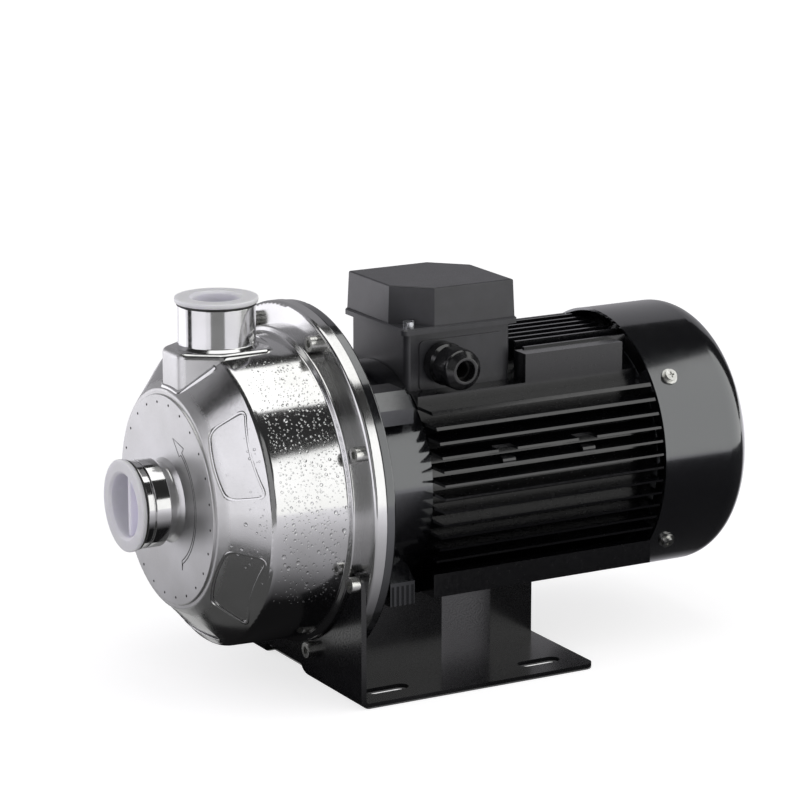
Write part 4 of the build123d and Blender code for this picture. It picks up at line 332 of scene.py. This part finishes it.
def shaded_floor():
    """Card of painted floor shade whose glow follows the distance from the casing, painted darker towards the
    motor.
    """
    square = lying(SHADE_LOW, SHADE_HIGH, SHADE_LOW, -SHADE_LOW, SHADE_HEIGHT)
    card = panel("shaded_floor", square, 1.0, LAVENDER, gives_light=False)
    tree = card.data.materials[0].node_tree
    nodes, links = tree.nodes, tree.links
    place = nodes.new("ShaderNodeTexCoord").outputs["Object"]
    shift = nodes.new("ShaderNodeVectorMath")
    shift.operation = "SUBTRACT"
    shift.inputs[1].default_value = (CASING_MIDDLE_X, 0.0, 0.0)
    links.new(place, shift.inputs[0])
    length = nodes.new("ShaderNodeVectorMath")
    length.operation = "LENGTH"
    links.new(shift.outputs["Vector"], length.inputs[0])
    shade = grey_ramp(nodes, links, length.outputs["Value"], SHADE)
    axes = nodes.new("ShaderNodeSeparateXYZ")
    links.new(place, axes.inputs["Vector"])
    # Painted shade: the reflected floor turns darker towards the motor, in a band along this slope.
    slope = nodes.new("ShaderNodeMath")
    slope.operation = "MULTIPLY_ADD"
    slope.inputs[1].default_value = MOTOR_DARK_SLOPE
    links.new(axes.outputs["Y"], slope.inputs[0])
    links.new(axes.outputs["X"], slope.inputs[2])
    motor_dark = span(nodes, links, slope.outputs[0], 1.0, MOTOR_DARK_SHARE, MOTOR_DARK_EDGE)
    for edge, low, high in ((MOTOR_DARK_FRONT, 1.0, 0.0), (MOTOR_DARK_BACK, 0.0, 1.0)):
        beyond = span(nodes, links, axes.outputs["Y"], low, high, edge)
        motor_dark = combined(nodes, links, "MAXIMUM", motor_dark, beyond)
    strength = combined(nodes, links, "MULTIPLY", shade, motor_dark)
    links.new(strength, nodes["Emission"].inputs["Strength"])


shaded_floor()
print("floor shade in reflections, by distance:", SHADE)

# %% [markdown]
# Every finish is built the same way. A cloud pattern in the piece's own coordinates lets the
# colour and the gloss wander a little, as they do on a real surface, and a finer one raises the
# grain. Values that are the same all over sit on the shader itself.

# %% Finish helpers
def cloud(nodes, links, place, scale, detail=3.0, stretch=None):
    """Cloud pattern from 0 to 1; scale is in patches per metre, stretch squeezes it along x, y, z."""
    if stretch:
        squeeze = nodes.new("ShaderNodeMapping")
        squeeze.inputs["Scale"].default_value = stretch
        links.new(place, squeeze.inputs["Vector"])
        place = squeeze.outputs["Vector"]
    pattern = nodes.new("ShaderNodeTexNoise")
    pattern.inputs["Scale"].default_value = scale
    pattern.inputs["Detail"].default_value = detail
    links.new(place, pattern.inputs["Vector"])
    return pattern.outputs["Fac"]


def between(nodes, links, value, dark, light):
    """Colour that runs from dark to light over a pattern's middle range."""
    ramp = nodes.new("ShaderNodeValToRGB")
    for step, place, colour in zip(ramp.color_ramp.elements, PATTERN_RANGE, (dark, light)):
        step.position = place
        step.color = (*colour, 1.0)
    links.new(value, ramp.inputs["Fac"])
    return ramp.outputs["Color"]


def relief(nodes, links, height, depth, under=None):
    """Bump of a pattern, depth in metres, on top of an earlier one if given."""
    bump = nodes.new("ShaderNodeBump")
    bump.inputs["Distance"].default_value = depth
    links.new(height, bump.inputs["Height"])
    if under is not None:
        links.new(under, bump.inputs["Normal"])
    return bump.outputs["Normal"]


def finish(name, dark, light, rough, metallic=0.0, patch=60.0, grain=900.0, depth=2e-5, stretch=None,
           **fixed):
    """Material whose colour runs from dark to light, its roughness over the pair rough, with a grain.

    Patches and grains are counted per metre, the grain's depth is in metres, and what else is given
    sits on the shader as it is.
    """
    material = bpy.data.materials.new(name)
    material.use_nodes = True
    nodes, links = material.node_tree.nodes, material.node_tree.links
    shader = nodes["Principled BSDF"]
    place = nodes.new("ShaderNodeTexCoord").outputs["Object"]
    patches = cloud(nodes, links, place, patch)
    links.new(between(nodes, links, patches, dark, light), shader.inputs["Base Color"])
    fine = cloud(nodes, links, place, grain, detail=4.0, stretch=stretch)
    links.new(span(nodes, links, fine, *rough), shader.inputs["Roughness"])
    links.new(relief(nodes, links, fine, depth), shader.inputs["Normal"])
    shader.inputs["Metallic"].default_value = metallic
    for socket, value in fixed.items():
        shader.inputs[socket.replace("_", " ")].default_value = value
    return material


def dress(material, *names):
    """Give CAD nodes a material in place of the plain one they come with."""
    for name in names:
        piece = frame["nodes"][name]
        piece.data.materials.clear()
        piece.data.materials.append(material)


# %% [markdown]
# The casing is drawn from sheet. The press stretches the metal over the shell and leaves it
# bright, while the face disc, the cone and the flange keep more of the sheet's satin. So the
# gloss changes along the shaft line, and a ramp over x gives the roughness at each place.

# %% Pressed stainless
STEEL_DARK = (0.56, 0.56, 0.555)
STEEL_LIGHT = (0.67, 0.67, 0.675)
SHOULDER_X = FACE_X + 0.023
GRAIN_SHARE = (0.9, 1.15)
WAVES_PER_METRE, WAVE_HEIGHT = 45.0, 1.0e-4
SATIN = ((0.0, 0.40), (0.004, 0.38), (0.0065, 0.20), (0.0205, 0.18), (0.0245, 0.115), (0.0640, 0.115),
         (0.0660, 0.15), (0.0725, 0.22), (0.0736, 0.14))


def pressed_steel():
    """Steel with the roughness of SATIN, pairs (distance behind the face, roughness), times its grain."""
    material = finish("pressed_steel", STEEL_DARK, STEEL_LIGHT, rough=GRAIN_SHARE, metallic=1.0,
                      patch=25.0, grain=700.0, depth=2e-6)
    nodes, links = material.node_tree.nodes, material.node_tree.links
    shader = nodes["Principled BSDF"]
    place = nodes["Texture Coordinate"].outputs["Object"]
    axes = nodes.new("ShaderNodeSeparateXYZ")
    links.new(place, axes.inputs["Vector"])
    length = SATIN[-1][0]
    along = span(nodes, links, axes.outputs["X"], 0.0, 1.0, (FACE_X, FACE_X + length))
    satin = grey_ramp(nodes, links, along, [(distance / length, rough) for distance, rough in SATIN])
    grained = shader.inputs["Roughness"].links[0].from_socket
    links.new(combined(nodes, links, "MULTIPLY", satin, grained), shader.inputs["Roughness"])
    waves = cloud(nodes, links, place, WAVES_PER_METRE, detail=2.0)
    grain = shader.inputs["Normal"].links[0].from_socket
    links.new(relief(nodes, links, waves, WAVE_HEIGHT, grain), shader.inputs["Normal"])
    return material


dress(pressed_steel(), "pump_casing")
print("casing roughness by distance behind the face:", SATIN)

# %% [markdown]
# Turned steel is brighter than pressed steel. The tool leaves fine lines round the part, which
# the stretched grain gives. Screws are tumbled and then zinc plated or left satin.

# %% Turned stainless, screws and inner metals
LINES_ROUND_X, LINES_ROUND_Z = (6.0, 0.3, 0.3), (0.3, 0.3, 6.0)
turned_steel = finish("turned_steel", STEEL_DARK, STEEL_LIGHT, rough=(0.11, 0.19), metallic=1.0,
                      patch=40.0, grain=500.0, depth=4e-6, stretch=LINES_ROUND_X)
tube_steel = finish("tube_steel", STEEL_DARK, STEEL_LIGHT, rough=(0.09, 0.16), metallic=1.0, patch=40.0,
                    grain=500.0, depth=4e-6, stretch=LINES_ROUND_Z)
screw_steel = finish("screw_steel", (0.52, 0.52, 0.50), (0.72, 0.72, 0.70), rough=(0.22, 0.36),
                     metallic=1.0, patch=300.0, grain=1500.0, depth=1e-5)
zinc = finish("zinc", (0.52, 0.53, 0.55), (0.70, 0.71, 0.74), rough=(0.24, 0.38), metallic=1.0,
              patch=300.0, grain=1500.0, depth=1e-5)
shaft_metal = finish("shaft_metal", (0.42, 0.42, 0.43), (0.56, 0.56, 0.57), rough=(0.15, 0.28),
                     metallic=1.0, patch=80.0, grain=700.0, depth=6e-6)
lamination = finish("lamination", (0.20, 0.20, 0.21), (0.30, 0.30, 0.31), rough=(0.35, 0.50),
                    metallic=1.0, patch=60.0, grain=900.0, depth=5e-5, stretch=(2.0, 0.1, 0.1))
dress(turned_steel, "impeller", "wear_ring", "casing_back_cover")
dress(tube_steel, "discharge_port")
dress(screw_steel, "casing_screws", "fan_cover_screws", "impeller_nut", "impeller_washer")
dress(zinc, "adapter_screws", "end_shield_screws", "lid_screws", "support_bolts")
dress(shaft_metal, "motor_shaft", "impeller_key", "front_bearing", "rear_bearing")
dress(lamination, "stator_core", "rotor_core")

# %% [markdown]
# The rear ring of the suction collar is turned a few degrees conical, so that it mirrors the room
# and not the face disc behind it. On the real one that is a cut of the lathe tool too fine to see
# as a shape, so it is a slope of the height map here: height = (x - start) * tan(slope). The neck
# behind the ring isn't polished, because the tool that turns the ring can't reach it.

# %% Suction collar
MOUTH_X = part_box("suction_port")[0].x
RING_START, RING_END = MOUTH_X + 0.0050, MOUTH_X + 0.0134
RING_SLOPE = math.radians(6.5)
RING_RISE = (RING_END - RING_START) * math.tan(RING_SLOPE)
NECK_ROUGH = 0.30
NECK_EDGE = (RING_END - 0.0002, RING_END + 0.0006)


def collar_steel():
    """Turned steel whose rear ring leans towards the port's mouth, left satin on the neck behind it."""
    material = finish("collar_steel", STEEL_DARK, STEEL_LIGHT, rough=(0.07, 0.12), metallic=1.0,
                      patch=40.0, grain=500.0, depth=2e-6, stretch=LINES_ROUND_X)
    nodes, links = material.node_tree.nodes, material.node_tree.links
    shader = nodes["Principled BSDF"]
    axes = nodes.new("ShaderNodeSeparateXYZ")
    links.new(nodes["Texture Coordinate"].outputs["Object"], axes.inputs["Vector"])
    rise = span(nodes, links, axes.outputs["X"], 0.0, 1.0, (RING_START, RING_END))
    grain = shader.inputs["Normal"].links[0].from_socket
    links.new(relief(nodes, links, rise, RING_RISE, grain), shader.inputs["Normal"])
    satin = span(nodes, links, axes.outputs["X"], 0.0, NECK_ROUGH, NECK_EDGE)
    grained = shader.inputs["Roughness"].links[0].from_socket
    links.new(combined(nodes, links, "MAXIMUM", grained, satin), shader.inputs["Roughness"])
    return material


dress(collar_steel(), "suction_port")
print("conical ring from", round(RING_START, 4), "to", round(RING_END, 4))

# %% [markdown]
# The motor is painted a deep gloss black. The clear coat is thinner on the finned frame, the fan
# cover's paint waves more widely than that of the cast pieces, and the foot has a satin black coat
# with a fine speckle. Gloss paint is two mirrors: the pigment's own surface and the clear coat on
# top of it.

# %% Black paints
PAINT_DARK, PAINT_LIGHT = (0.002, 0.002, 0.003), (0.004, 0.004, 0.005)
GLOSS = {"Coat_Weight": 1.0, "Coat_IOR": 1.7, "IOR": 1.65, "Specular_Tint": (0.90, 0.95, 1.0, 1.0)}
gloss_black = finish("gloss_black", PAINT_DARK, PAINT_LIGHT, rough=(0.12, 0.20),
                     patch=40.0, grain=420.0, depth=6e-6, Coat_Roughness=0.08, **GLOSS)
cowl_black = finish("cowl_black", PAINT_DARK, PAINT_LIGHT, rough=(0.13, 0.20),
                    patch=30.0, grain=160.0, depth=8e-6, Coat_Roughness=0.09, **GLOSS)
fin_black = finish("fin_black", PAINT_DARK, PAINT_LIGHT, rough=(0.18, 0.28),
                   patch=40.0, grain=420.0, depth=2e-6, Coat_Weight=0.6, Coat_IOR=1.5,
                   Coat_Roughness=0.12)
foot_black = finish("foot_black", (0.003, 0.003, 0.004), (0.007, 0.007, 0.008), rough=(0.20, 0.32),
                    patch=120.0, grain=1400.0, depth=6e-6, Coat_Weight=0.6, Coat_Roughness=0.15)
dress(gloss_black, "front_end_shield", "rear_end_shield", "adapter_flange")
dress(fin_black, "motor_housing")
dress(cowl_black, "fan_cover")
dress(foot_black, "foot_bracket", "front_support", "rear_support")

# %% [markdown]
# The plastics and rubbers: a fine-textured dark moulding for the terminal box, shiny black nylon
# for the cable gland, black rubber for the gaskets, and cloudy soft polythene for the transit
# plugs. Polythene lets light in, so its shadows glow, which takes scattering under the surface.

# %% Plastics, rubber and the rest
box_plastic = finish("box_plastic", (0.034, 0.034, 0.038), (0.046, 0.046, 0.052), rough=(0.28, 0.38),
                     patch=90.0, grain=2200.0, depth=3e-5)
gland_black = finish("gland_black", (0.006, 0.006, 0.007), (0.012, 0.012, 0.013), rough=(0.14, 0.24),
                     patch=120.0, grain=900.0, depth=6e-6, IOR=1.6)
rubber = finish("rubber", (0.012, 0.012, 0.012), (0.022, 0.022, 0.022), rough=(0.50, 0.70), patch=200.0,
                grain=1800.0, depth=2e-5)
polythene = finish("polythene", (0.78, 0.76, 0.88), (0.84, 0.82, 0.93), rough=(0.28, 0.40), patch=60.0,
                   grain=500.0, depth=1.2e-5, Subsurface_Weight=0.9,
                   Subsurface_Radius=(0.010, 0.0095, 0.011), Subsurface_Scale=1.0)
fan_nylon = finish("fan_nylon", (0.02, 0.02, 0.022), (0.035, 0.035, 0.038), rough=(0.40, 0.55),
                   patch=100.0, grain=1200.0, depth=2e-5)
copper = finish("copper", (0.40, 0.13, 0.05), (0.62, 0.24, 0.10), rough=(0.28, 0.45), metallic=0.8,
                patch=200.0, grain=800.0, depth=2e-4)
ceramic = finish("ceramic", (0.70, 0.69, 0.66), (0.78, 0.77, 0.74), rough=(0.18, 0.30), patch=200.0,
                 grain=900.0, depth=1e-5)
block_resin = finish("block_resin", (0.10, 0.06, 0.04), (0.14, 0.09, 0.06), rough=(0.35, 0.50),
                     patch=200.0, grain=900.0, depth=2e-5)
dress(box_plastic, "terminal_box_base", "terminal_box_lid")
dress(gland_black, "gland_body", "gland_nut")
dress(rubber, "suction_plug_gasket", "discharge_plug_gasket", "box_gasket")
dress(rubber, "casing_o_ring", "gland_seal", "seal_head")
dress(polythene, "suction_plug", "discharge_plug")
dress(fan_nylon, "fan")
dress(copper, "front_winding", "rear_winding")
dress(ceramic, "seal_seat")
dress(block_resin, "terminal_block")

# %% [markdown]
# The face disc carries a ring of small dots, where the disc is tacked to the blank, and a plain
# arrow that shows which way the shaft turns. Each is drawn as a shallow rounded line or dot of
# darker steel. A line is a strip with a half-round section, swept along a path: a point of it is
# p + s * (w / 2) * cos(a) + n * h * sin(a), with s across the path and n out of the surface.

# %% Raised lines and the arrow
SECTION_ANGLES = (0, 45, 90, 135, 180, 270)


def on_face(radius, angle):
    """Points on the face disc; angle in degrees from the top towards the near side."""
    turn = np.radians(angle)
    x = np.full(turn.shape, FACE_X)
    return np.stack([x, AXIS_Y - radius * np.sin(turn), AXIS_Z + radius * np.cos(turn)], axis=-1)


def strip(name, path, outward, width, height, closed):
    """Half-round line along a path (n, 3) on a surface with outward normals (n, 3)."""
    ahead = np.roll(path, -1, axis=0) - np.roll(path, 1, axis=0)
    if not closed:
        ahead[0], ahead[-1] = path[1] - path[0], path[-1] - path[-2]
    across = np.cross(outward, ahead)
    across /= np.linalg.norm(across, axis=1, keepdims=True)
    angles = np.radians(SECTION_ANGLES)
    wide = 0.5 * width * np.cos(angles)[None, :, None] * across[:, None, :]
    high = height * np.sin(angles)[None, :, None] * outward[:, None, :]
    points = path[:, None, :] + wide + high
    rows, columns = points.shape[:2]
    grid = np.arange(rows * columns).reshape(rows, columns)
    if closed:
        grid = np.vstack([grid, grid[:1]])
    side = np.roll(grid, -1, axis=1)
    faces = np.stack([grid[:-1], side[:-1], side[1:], grid[1:]], axis=-1).reshape(-1, 4)
    return mesh_from(name, points, faces)


def smooth_corners(corners, cut, steps):
    """Closed path through corners (x, y), each rounded by a parabola that starts a length cut away."""
    corners = np.asarray(corners, dtype=float)
    before, after = np.roll(corners, 1, axis=0) - corners, np.roll(corners, -1, axis=0) - corners
    start = corners + cut * before / np.linalg.norm(before, axis=1, keepdims=True)
    end = corners + cut * after / np.linalg.norm(after, axis=1, keepdims=True)
    t = np.linspace(0, 1, steps)[None, :, None]
    bend = (1 - t) ** 2 * start[:, None] + 2 * t * (1 - t) * corners[:, None] + t ** 2 * end[:, None]
    return bend.reshape(-1, 2)


def filled_in(path, gap):
    """Closed path (n, 2) with points added so that neighbours are at most a gap apart."""
    following = np.roll(path, -1, axis=0)
    length = np.linalg.norm(following - path, axis=1)
    counts = np.maximum(1, np.ceil(length / gap)).astype(int)
    index = np.repeat(np.arange(len(path)), counts)
    share = np.concatenate([np.arange(count) / count for count in counts])[:, None]
    return path[index] * (1 - share) + following[index] * share


def ride_on_pump(piece, material):
    """Let a small piece ride on the pump's body with a finish of its own."""
    piece.data.materials.append(material)
    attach(piece, "pump")
    return piece


ARROW_LINE, ARROW_HEIGHT = 0.00070, 0.00016
ARROW_IN, ARROW_OUT = 0.0345, 0.0362
ARROW_HEAD_ANGLE, ARROW_TAIL_ANGLE = 34, 148
ARROW_STEPS = 39
mark_steel = finish("mark_steel", (0.10, 0.10, 0.10), (0.22, 0.22, 0.22), rough=(0.28, 0.45),
                    metallic=1.0, patch=300.0, grain=1500.0, depth=1e-5)


def rotation_arrow():
    """Arrow bent round the suction neck, a line through corners given by radius and angle."""
    angles = np.linspace(ARROW_HEAD_ANGLE, ARROW_TAIL_ANGLE, ARROW_STEPS)
    shaft_in = [(ARROW_IN, angle) for angle in angles]
    shaft_out = [(ARROW_OUT, angle) for angle in angles[::-1]]
    tail = [(0.0392, 152)]
    head = [(ARROW_OUT, 33), (0.0398, 33.5), (0.0372, 14), (0.0322, 31), (ARROW_IN, 33)]
    outline = np.array(shaft_in + tail + shaft_out + head)
    points = on_face(outline[:, 0], outline[:, 1])
    outward = np.tile([-1.0, 0.0, 0.0], (len(points), 1))
    return strip("rotation_arrow", points, outward, ARROW_LINE, ARROW_HEIGHT, closed=True)


arrow = ride_on_pump(rotation_arrow(), mark_steel)
print("arrow faces:", len(arrow.data.polygons))

# %% [markdown]
# Each dot is a small dome, made once as a set of rings and then copied to all its places by
# adding arrays. The same dome, taller and of water, serves for the drops further down.

# %% Small domes
DOME_RINGS = (-12.0, 32.0, 62.0)
DOME_FOOT = 0.3


def domes(name, centres, outward, radii, flatness, sides=8):
    """Many small closed domes: p = c + r * (u * cos(a) + v * sin(a)) * cos(e) + n * r * flatness * sin(e)."""
    helper = np.where(np.abs(outward[:, 2:3]) < 0.9, [[0.0, 0.0, 1.0]], [[0.0, 1.0, 0.0]])
    u = np.cross(helper, outward)
    u /= np.linalg.norm(u, axis=1, keepdims=True)
    v = np.cross(outward, u)
    turn = np.linspace(0, 2 * np.pi, sides, endpoint=False)
    rise = np.radians(DOME_RINGS)
    cosine, sine = np.cos(turn)[None, None, :, None], np.sin(turn)[None, None, :, None]
    circle = u[:, None, None] * cosine + v[:, None, None] * sine
    flat = circle * np.cos(rise)[None, :, None, None]
    tall = flatness * np.sin(rise)[None, :, None, None] * outward[:, None, None]
    rings = centres[:, None, None] + radii[:, None, None, None] * (flat + tall)
    top = centres + outward * (radii * flatness)[:, None]
    foot = centres - outward * (radii * flatness * DOME_FOOT)[:, None]
    count = len(rise) * sides
    points = np.concatenate([rings.reshape(len(centres), count, 3), top[:, None], foot[:, None]], axis=1)
    ring = np.arange(sides)
    after = (ring + 1) % sides
    walls = []
    for k in range(len(rise) - 1):
        low, high = k * sides, (k + 1) * sides
        walls.append(np.stack([low + ring, low + after, high + after], axis=-1))
        walls.append(np.stack([low + ring, high + after, high + ring], axis=-1))
    last = count - sides
    walls.append(np.stack([last + ring, last + after, np.full(sides, count)], axis=-1))
    walls.append(np.stack([after, ring, np.full(sides, count + 1)], axis=-1))
    faces = np.concatenate(walls)[None] + (np.arange(len(centres)) * (count + 2))[:, None, None]
    return mesh_from(name, points, faces.reshape(-1, 3))


DOT_COUNT = 24
DOT_TURN = 4.4
DOT_CIRCLE = 0.053
DOT_RADIUS, DOT_FLATNESS = 0.00082, 0.22
dot_angles = np.arange(DOT_COUNT) * 360 / DOT_COUNT + DOT_TURN
dot_places = on_face(np.full(DOT_COUNT, DOT_CIRCLE), dot_angles)
dot_outward = np.tile([-1.0, 0.0, 0.0], (DOT_COUNT, 1))
dots = domes("face_dots", dot_places, dot_outward, np.full(DOT_COUNT, DOT_RADIUS), DOT_FLATNESS)
dot_steel = finish("dot_steel", (0.006, 0.006, 0.006), (0.02, 0.02, 0.02), rough=(0.45, 0.6),
                   metallic=1.0, patch=300.0, grain=1500.0, depth=1e-5)
ride_on_pump(dots, dot_steel)
print("dots:", DOT_COUNT)

# %% [markdown]
# The keystone panels are pressed into the cone with a rounded lip that catches the light all
# round. The lip is a strip along the edge of each recess, on the cone, whose radius grows from
# the face to the shoulder: r = FACE_R + (x - FACE_X) * slope.

# %% Panel lips
FACE_R, SHOULDER_R = 0.057, 0.0827
CONE_SLOPE = (SHOULDER_R - FACE_R) / (SHOULDER_X - FACE_X)
PANEL_IN, PANEL_OUT, PANEL_HALF_ANGLE = 0.0602, 0.0765, 18.0
PANEL_SPACING = 60
PANEL_TURNS = np.arange(PANEL_SPACING, 360, PANEL_SPACING)
PANEL_ROUND, PANEL_POINT_GAP = 0.0052, 0.002
LIP_WIDTH, LIP_HEIGHT = 0.0019, 0.00024


def cone_points(side, radius, turn):
    """Points on the cone from a plan (side, radius) turned about the shaft line, and their normals."""
    turn = np.radians(turn)
    reach = np.hypot(side, radius)
    angle = np.arctan2(side, radius) + turn
    x = FACE_X + (reach - FACE_R) / CONE_SLOPE
    points = np.stack([x, AXIS_Y - reach * np.sin(angle), AXIS_Z + reach * np.cos(angle)], axis=-1)
    tilt = np.hypot(1.0, CONE_SLOPE)
    outward = np.stack([np.full(angle.shape, -CONE_SLOPE), -np.sin(angle), np.cos(angle)], axis=-1) / tilt
    return points, outward


def panel_outline():
    """Rounded keystone (side, radius) round a recess."""
    spread = math.tan(math.radians(PANEL_HALF_ANGLE))
    inner, outer = PANEL_IN * spread, PANEL_OUT * spread
    corners = [(-inner, PANEL_IN), (-outer, PANEL_OUT), (outer, PANEL_OUT), (inner, PANEL_IN)]
    return filled_in(smooth_corners(corners, PANEL_ROUND, 7), PANEL_POINT_GAP)


outline = panel_outline()
for number, turn in enumerate(PANEL_TURNS):
    path, outward = cone_points(outline[:, 0], outline[:, 1], turn)
    lip = strip(f"panel_lip_{number}", path, outward, LIP_WIDTH, LIP_HEIGHT, closed=True)
    ride_on_pump(lip, turned_steel)
print("panel lips:", len(PANEL_TURNS))

# %% [markdown]
# Where the flat pad under the discharge tube rises from the cone, the press leaves a soft round
# foot that catches the light. Its path is the pad's plan, rounded at the corners and laid on the
# cone: z = sqrt(r(x)^2 - y^2). It faces half away from the pad's wall and half out of the cone.

# %% Foot of the discharge pad
PAD_NOSE_X, PAD_NOSE_HALF, PAD_HALF = FLANGE_X - 0.0697, 0.0110, 0.0245
PAD_START_X = SHOULDER_X - 0.0022
PAD_END_GAP = 0.0012
PAD_ROUND, PAD_POINT_GAP = 0.0037, 0.0015
PAD_BEAD_WIDTH, PAD_BEAD_HEIGHT = 0.0046, 0.0011


def pad_foot():
    """Round bead from the shoulder round the pad's nose and back to the shoulder."""
    near_side = [(PAD_START_X, -PAD_HALF), (PAD_NOSE_X, -PAD_NOSE_HALF)]
    far_side = [(PAD_NOSE_X, PAD_NOSE_HALF), (PAD_START_X, PAD_HALF)]
    plan = filled_in(smooth_corners(near_side + far_side, PAD_ROUND, 9), PAD_POINT_GAP)
    first = int(np.argmin(np.hypot(plan[:, 0] - PAD_START_X, plan[:, 1] + PAD_HALF)))
    plan = np.roll(plan, -first, axis=0)
    plan = plan[plan[:, 0] < PAD_START_X - PAD_END_GAP]
    x, y = plan[:, 0], plan[:, 1]
    reach = FACE_R + (x - FACE_X) * CONE_SLOPE
    z = np.sqrt(reach ** 2 - y ** 2)
    points = np.stack([x, AXIS_Y + y, AXIS_Z + z], axis=-1)
    ahead = np.gradient(points, axis=0)
    wall = np.stack([-ahead[:, 1], ahead[:, 0], np.zeros(len(x))], axis=-1)
    wall /= np.linalg.norm(wall, axis=1, keepdims=True)
    away = wall[:, 0] * (x - SHOULDER_X) + wall[:, 1] * y
    wall *= np.where(away < 0, -1.0, 1.0)[:, None]
    cone = np.stack([np.full(len(x), -CONE_SLOPE), y / reach, z / reach], axis=-1)
    cone /= np.linalg.norm(cone, axis=1, keepdims=True)
    outward = wall + cone
    outward /= np.linalg.norm(outward, axis=1, keepdims=True)
    return strip("pad_foot", points, outward, PAD_BEAD_WIDTH, PAD_BEAD_HEIGHT, closed=False)


foot = ride_on_pump(pad_foot(), turned_steel)
print("pad foot faces:", len(foot.data.polygons))

# %% [markdown]
# The pump has been splashed, and beads of water stand on the near side of the shell and of the
# cone. They are scattered at random with a fixed seed, thickest on the upper side, small ones far
# more often than large ones, and none touches another. A bead on steel is a flattened dome, so it
# shows a bright point and a dark rim.

# %% Water beads
SHELL_END_X, SHELL_R = FLANGE_X - 0.0075, 0.084
BEAD_REAR_X = SHELL_END_X - 0.0010
SHELL_START_GAP, CONE_START_GAP, CONE_END_GAP = 0.004, 0.0045, 0.003
SHELL_BEADS, SHELL_ANGLES, SHELL_PEAK, SHELL_SPREAD = 1350, (22, 124), 66, 27
CONE_BEADS, CONE_ANGLES, CONE_PEAK, CONE_SPREAD = 420, (48, 126), 84, 20
FINE_BEAD, TOP_BEAD, LOW_BEAD = 0.00036, 0.00018, 0.00026
TOP_ANGLE, TOP_SPREAD, LOW_ANGLE, LOW_SPREAD = 54, 11, 98, 16
BEAD_VARIETY, BEAD_LIMITS, BEAD_FLATNESS, BEAD_ROOM = 0.45, (0.0002, 0.0014), 0.55, 1.15
LIP_ROOM, RECESS_DEPTH = 0.001, 0.0009
WATER_SEED = 7


def scattered(chance, count, x_range, angle_range, peak, spread):
    """Random places (x, angle), with angles gathered round a peak, and bead radii."""
    x = chance.uniform(*x_range, count)
    angle = np.clip(chance.normal(peak, spread, count), *angle_range)
    at_end = (angle <= angle_range[0]) | (angle >= angle_range[1])
    angle = np.where(at_end, chance.uniform(*angle_range, count), angle)
    middle = FINE_BEAD + TOP_BEAD * np.exp(-((angle - TOP_ANGLE) / TOP_SPREAD) ** 2)
    middle += LOW_BEAD * np.exp(-((angle - LOW_ANGLE) / LOW_SPREAD) ** 2)
    radius = np.clip(middle * np.exp(BEAD_VARIETY * chance.standard_normal(count)), *BEAD_LIMITS)
    return x, angle, radius


def apart(points, radii):
    """Keep each bead only if it touches no earlier one."""
    gap = np.linalg.norm(points[:, None] - points[None], axis=-1)
    touching = np.triu(gap < BEAD_ROOM * (radii[:, None] + radii[None]), 1)
    return ~touching.any(axis=0)


def shell_beads(chance):
    """Beads on the round shell, with their outward directions."""
    x_range = (SHOULDER_X + SHELL_START_GAP, BEAD_REAR_X)
    x, angle, radii = scattered(chance, SHELL_BEADS, x_range, SHELL_ANGLES, SHELL_PEAK, SHELL_SPREAD)
    reach = SHOULDER_R + (SHELL_R - SHOULDER_R) * (x - SHOULDER_X) / (SHELL_END_X - SHOULDER_X)
    turn = np.radians(angle)
    outward = np.stack([np.zeros_like(turn), -np.sin(turn), np.cos(turn)], axis=-1)
    points = np.stack([x, AXIS_Y - reach * np.sin(turn), AXIS_Z + reach * np.cos(turn)], axis=-1)
    return points, outward, radii


def cone_beads(chance):
    """Beads on the near side of the cone, those in a recess lying that much lower."""
    x_range = (FACE_X + CONE_START_GAP, SHOULDER_X - CONE_END_GAP)
    x, angle, radii = scattered(chance, CONE_BEADS, x_range, CONE_ANGLES, CONE_PEAK, CONE_SPREAD)
    reach = FACE_R + (x - FACE_X) * CONE_SLOPE
    local = (angle + PANEL_SPACING / 2) % PANEL_SPACING - PANEL_SPACING / 2
    side, radius = reach * np.sin(np.radians(local)), reach * np.cos(np.radians(local))
    to_side = np.tan(np.radians(PANEL_HALF_ANGLE)) * radius - np.abs(side)
    within = np.minimum(np.minimum(radius - PANEL_IN, PANEL_OUT - radius), to_side)
    points, outward = cone_points(np.zeros_like(reach), reach, angle)
    points = points - outward * np.where(within > LIP_ROOM, RECESS_DEPTH, 0.0)[:, None]
    keep = np.abs(within) > LIP_ROOM
    return points[keep], outward[keep], radii[keep]


chance = np.random.default_rng(WATER_SEED)
groups = [shell_beads(chance), cone_beads(chance)]
centres, outward, radii = (np.concatenate(parts) for parts in zip(*groups))
keep = apart(centres, radii)
beads = domes("water_beads", centres[keep], outward[keep], radii[keep], BEAD_FLATNESS)
water = finish("water", (0.97, 0.98, 0.98), (1.0, 1.0, 1.0), rough=(0.0, 0.02), patch=60.0, grain=400.0,
               depth=1e-6, Transmission_Weight=1.0, IOR=1.33)
ride_on_pump(beads, water)
print("beads:", int(keep.sum()), "of", len(keep))
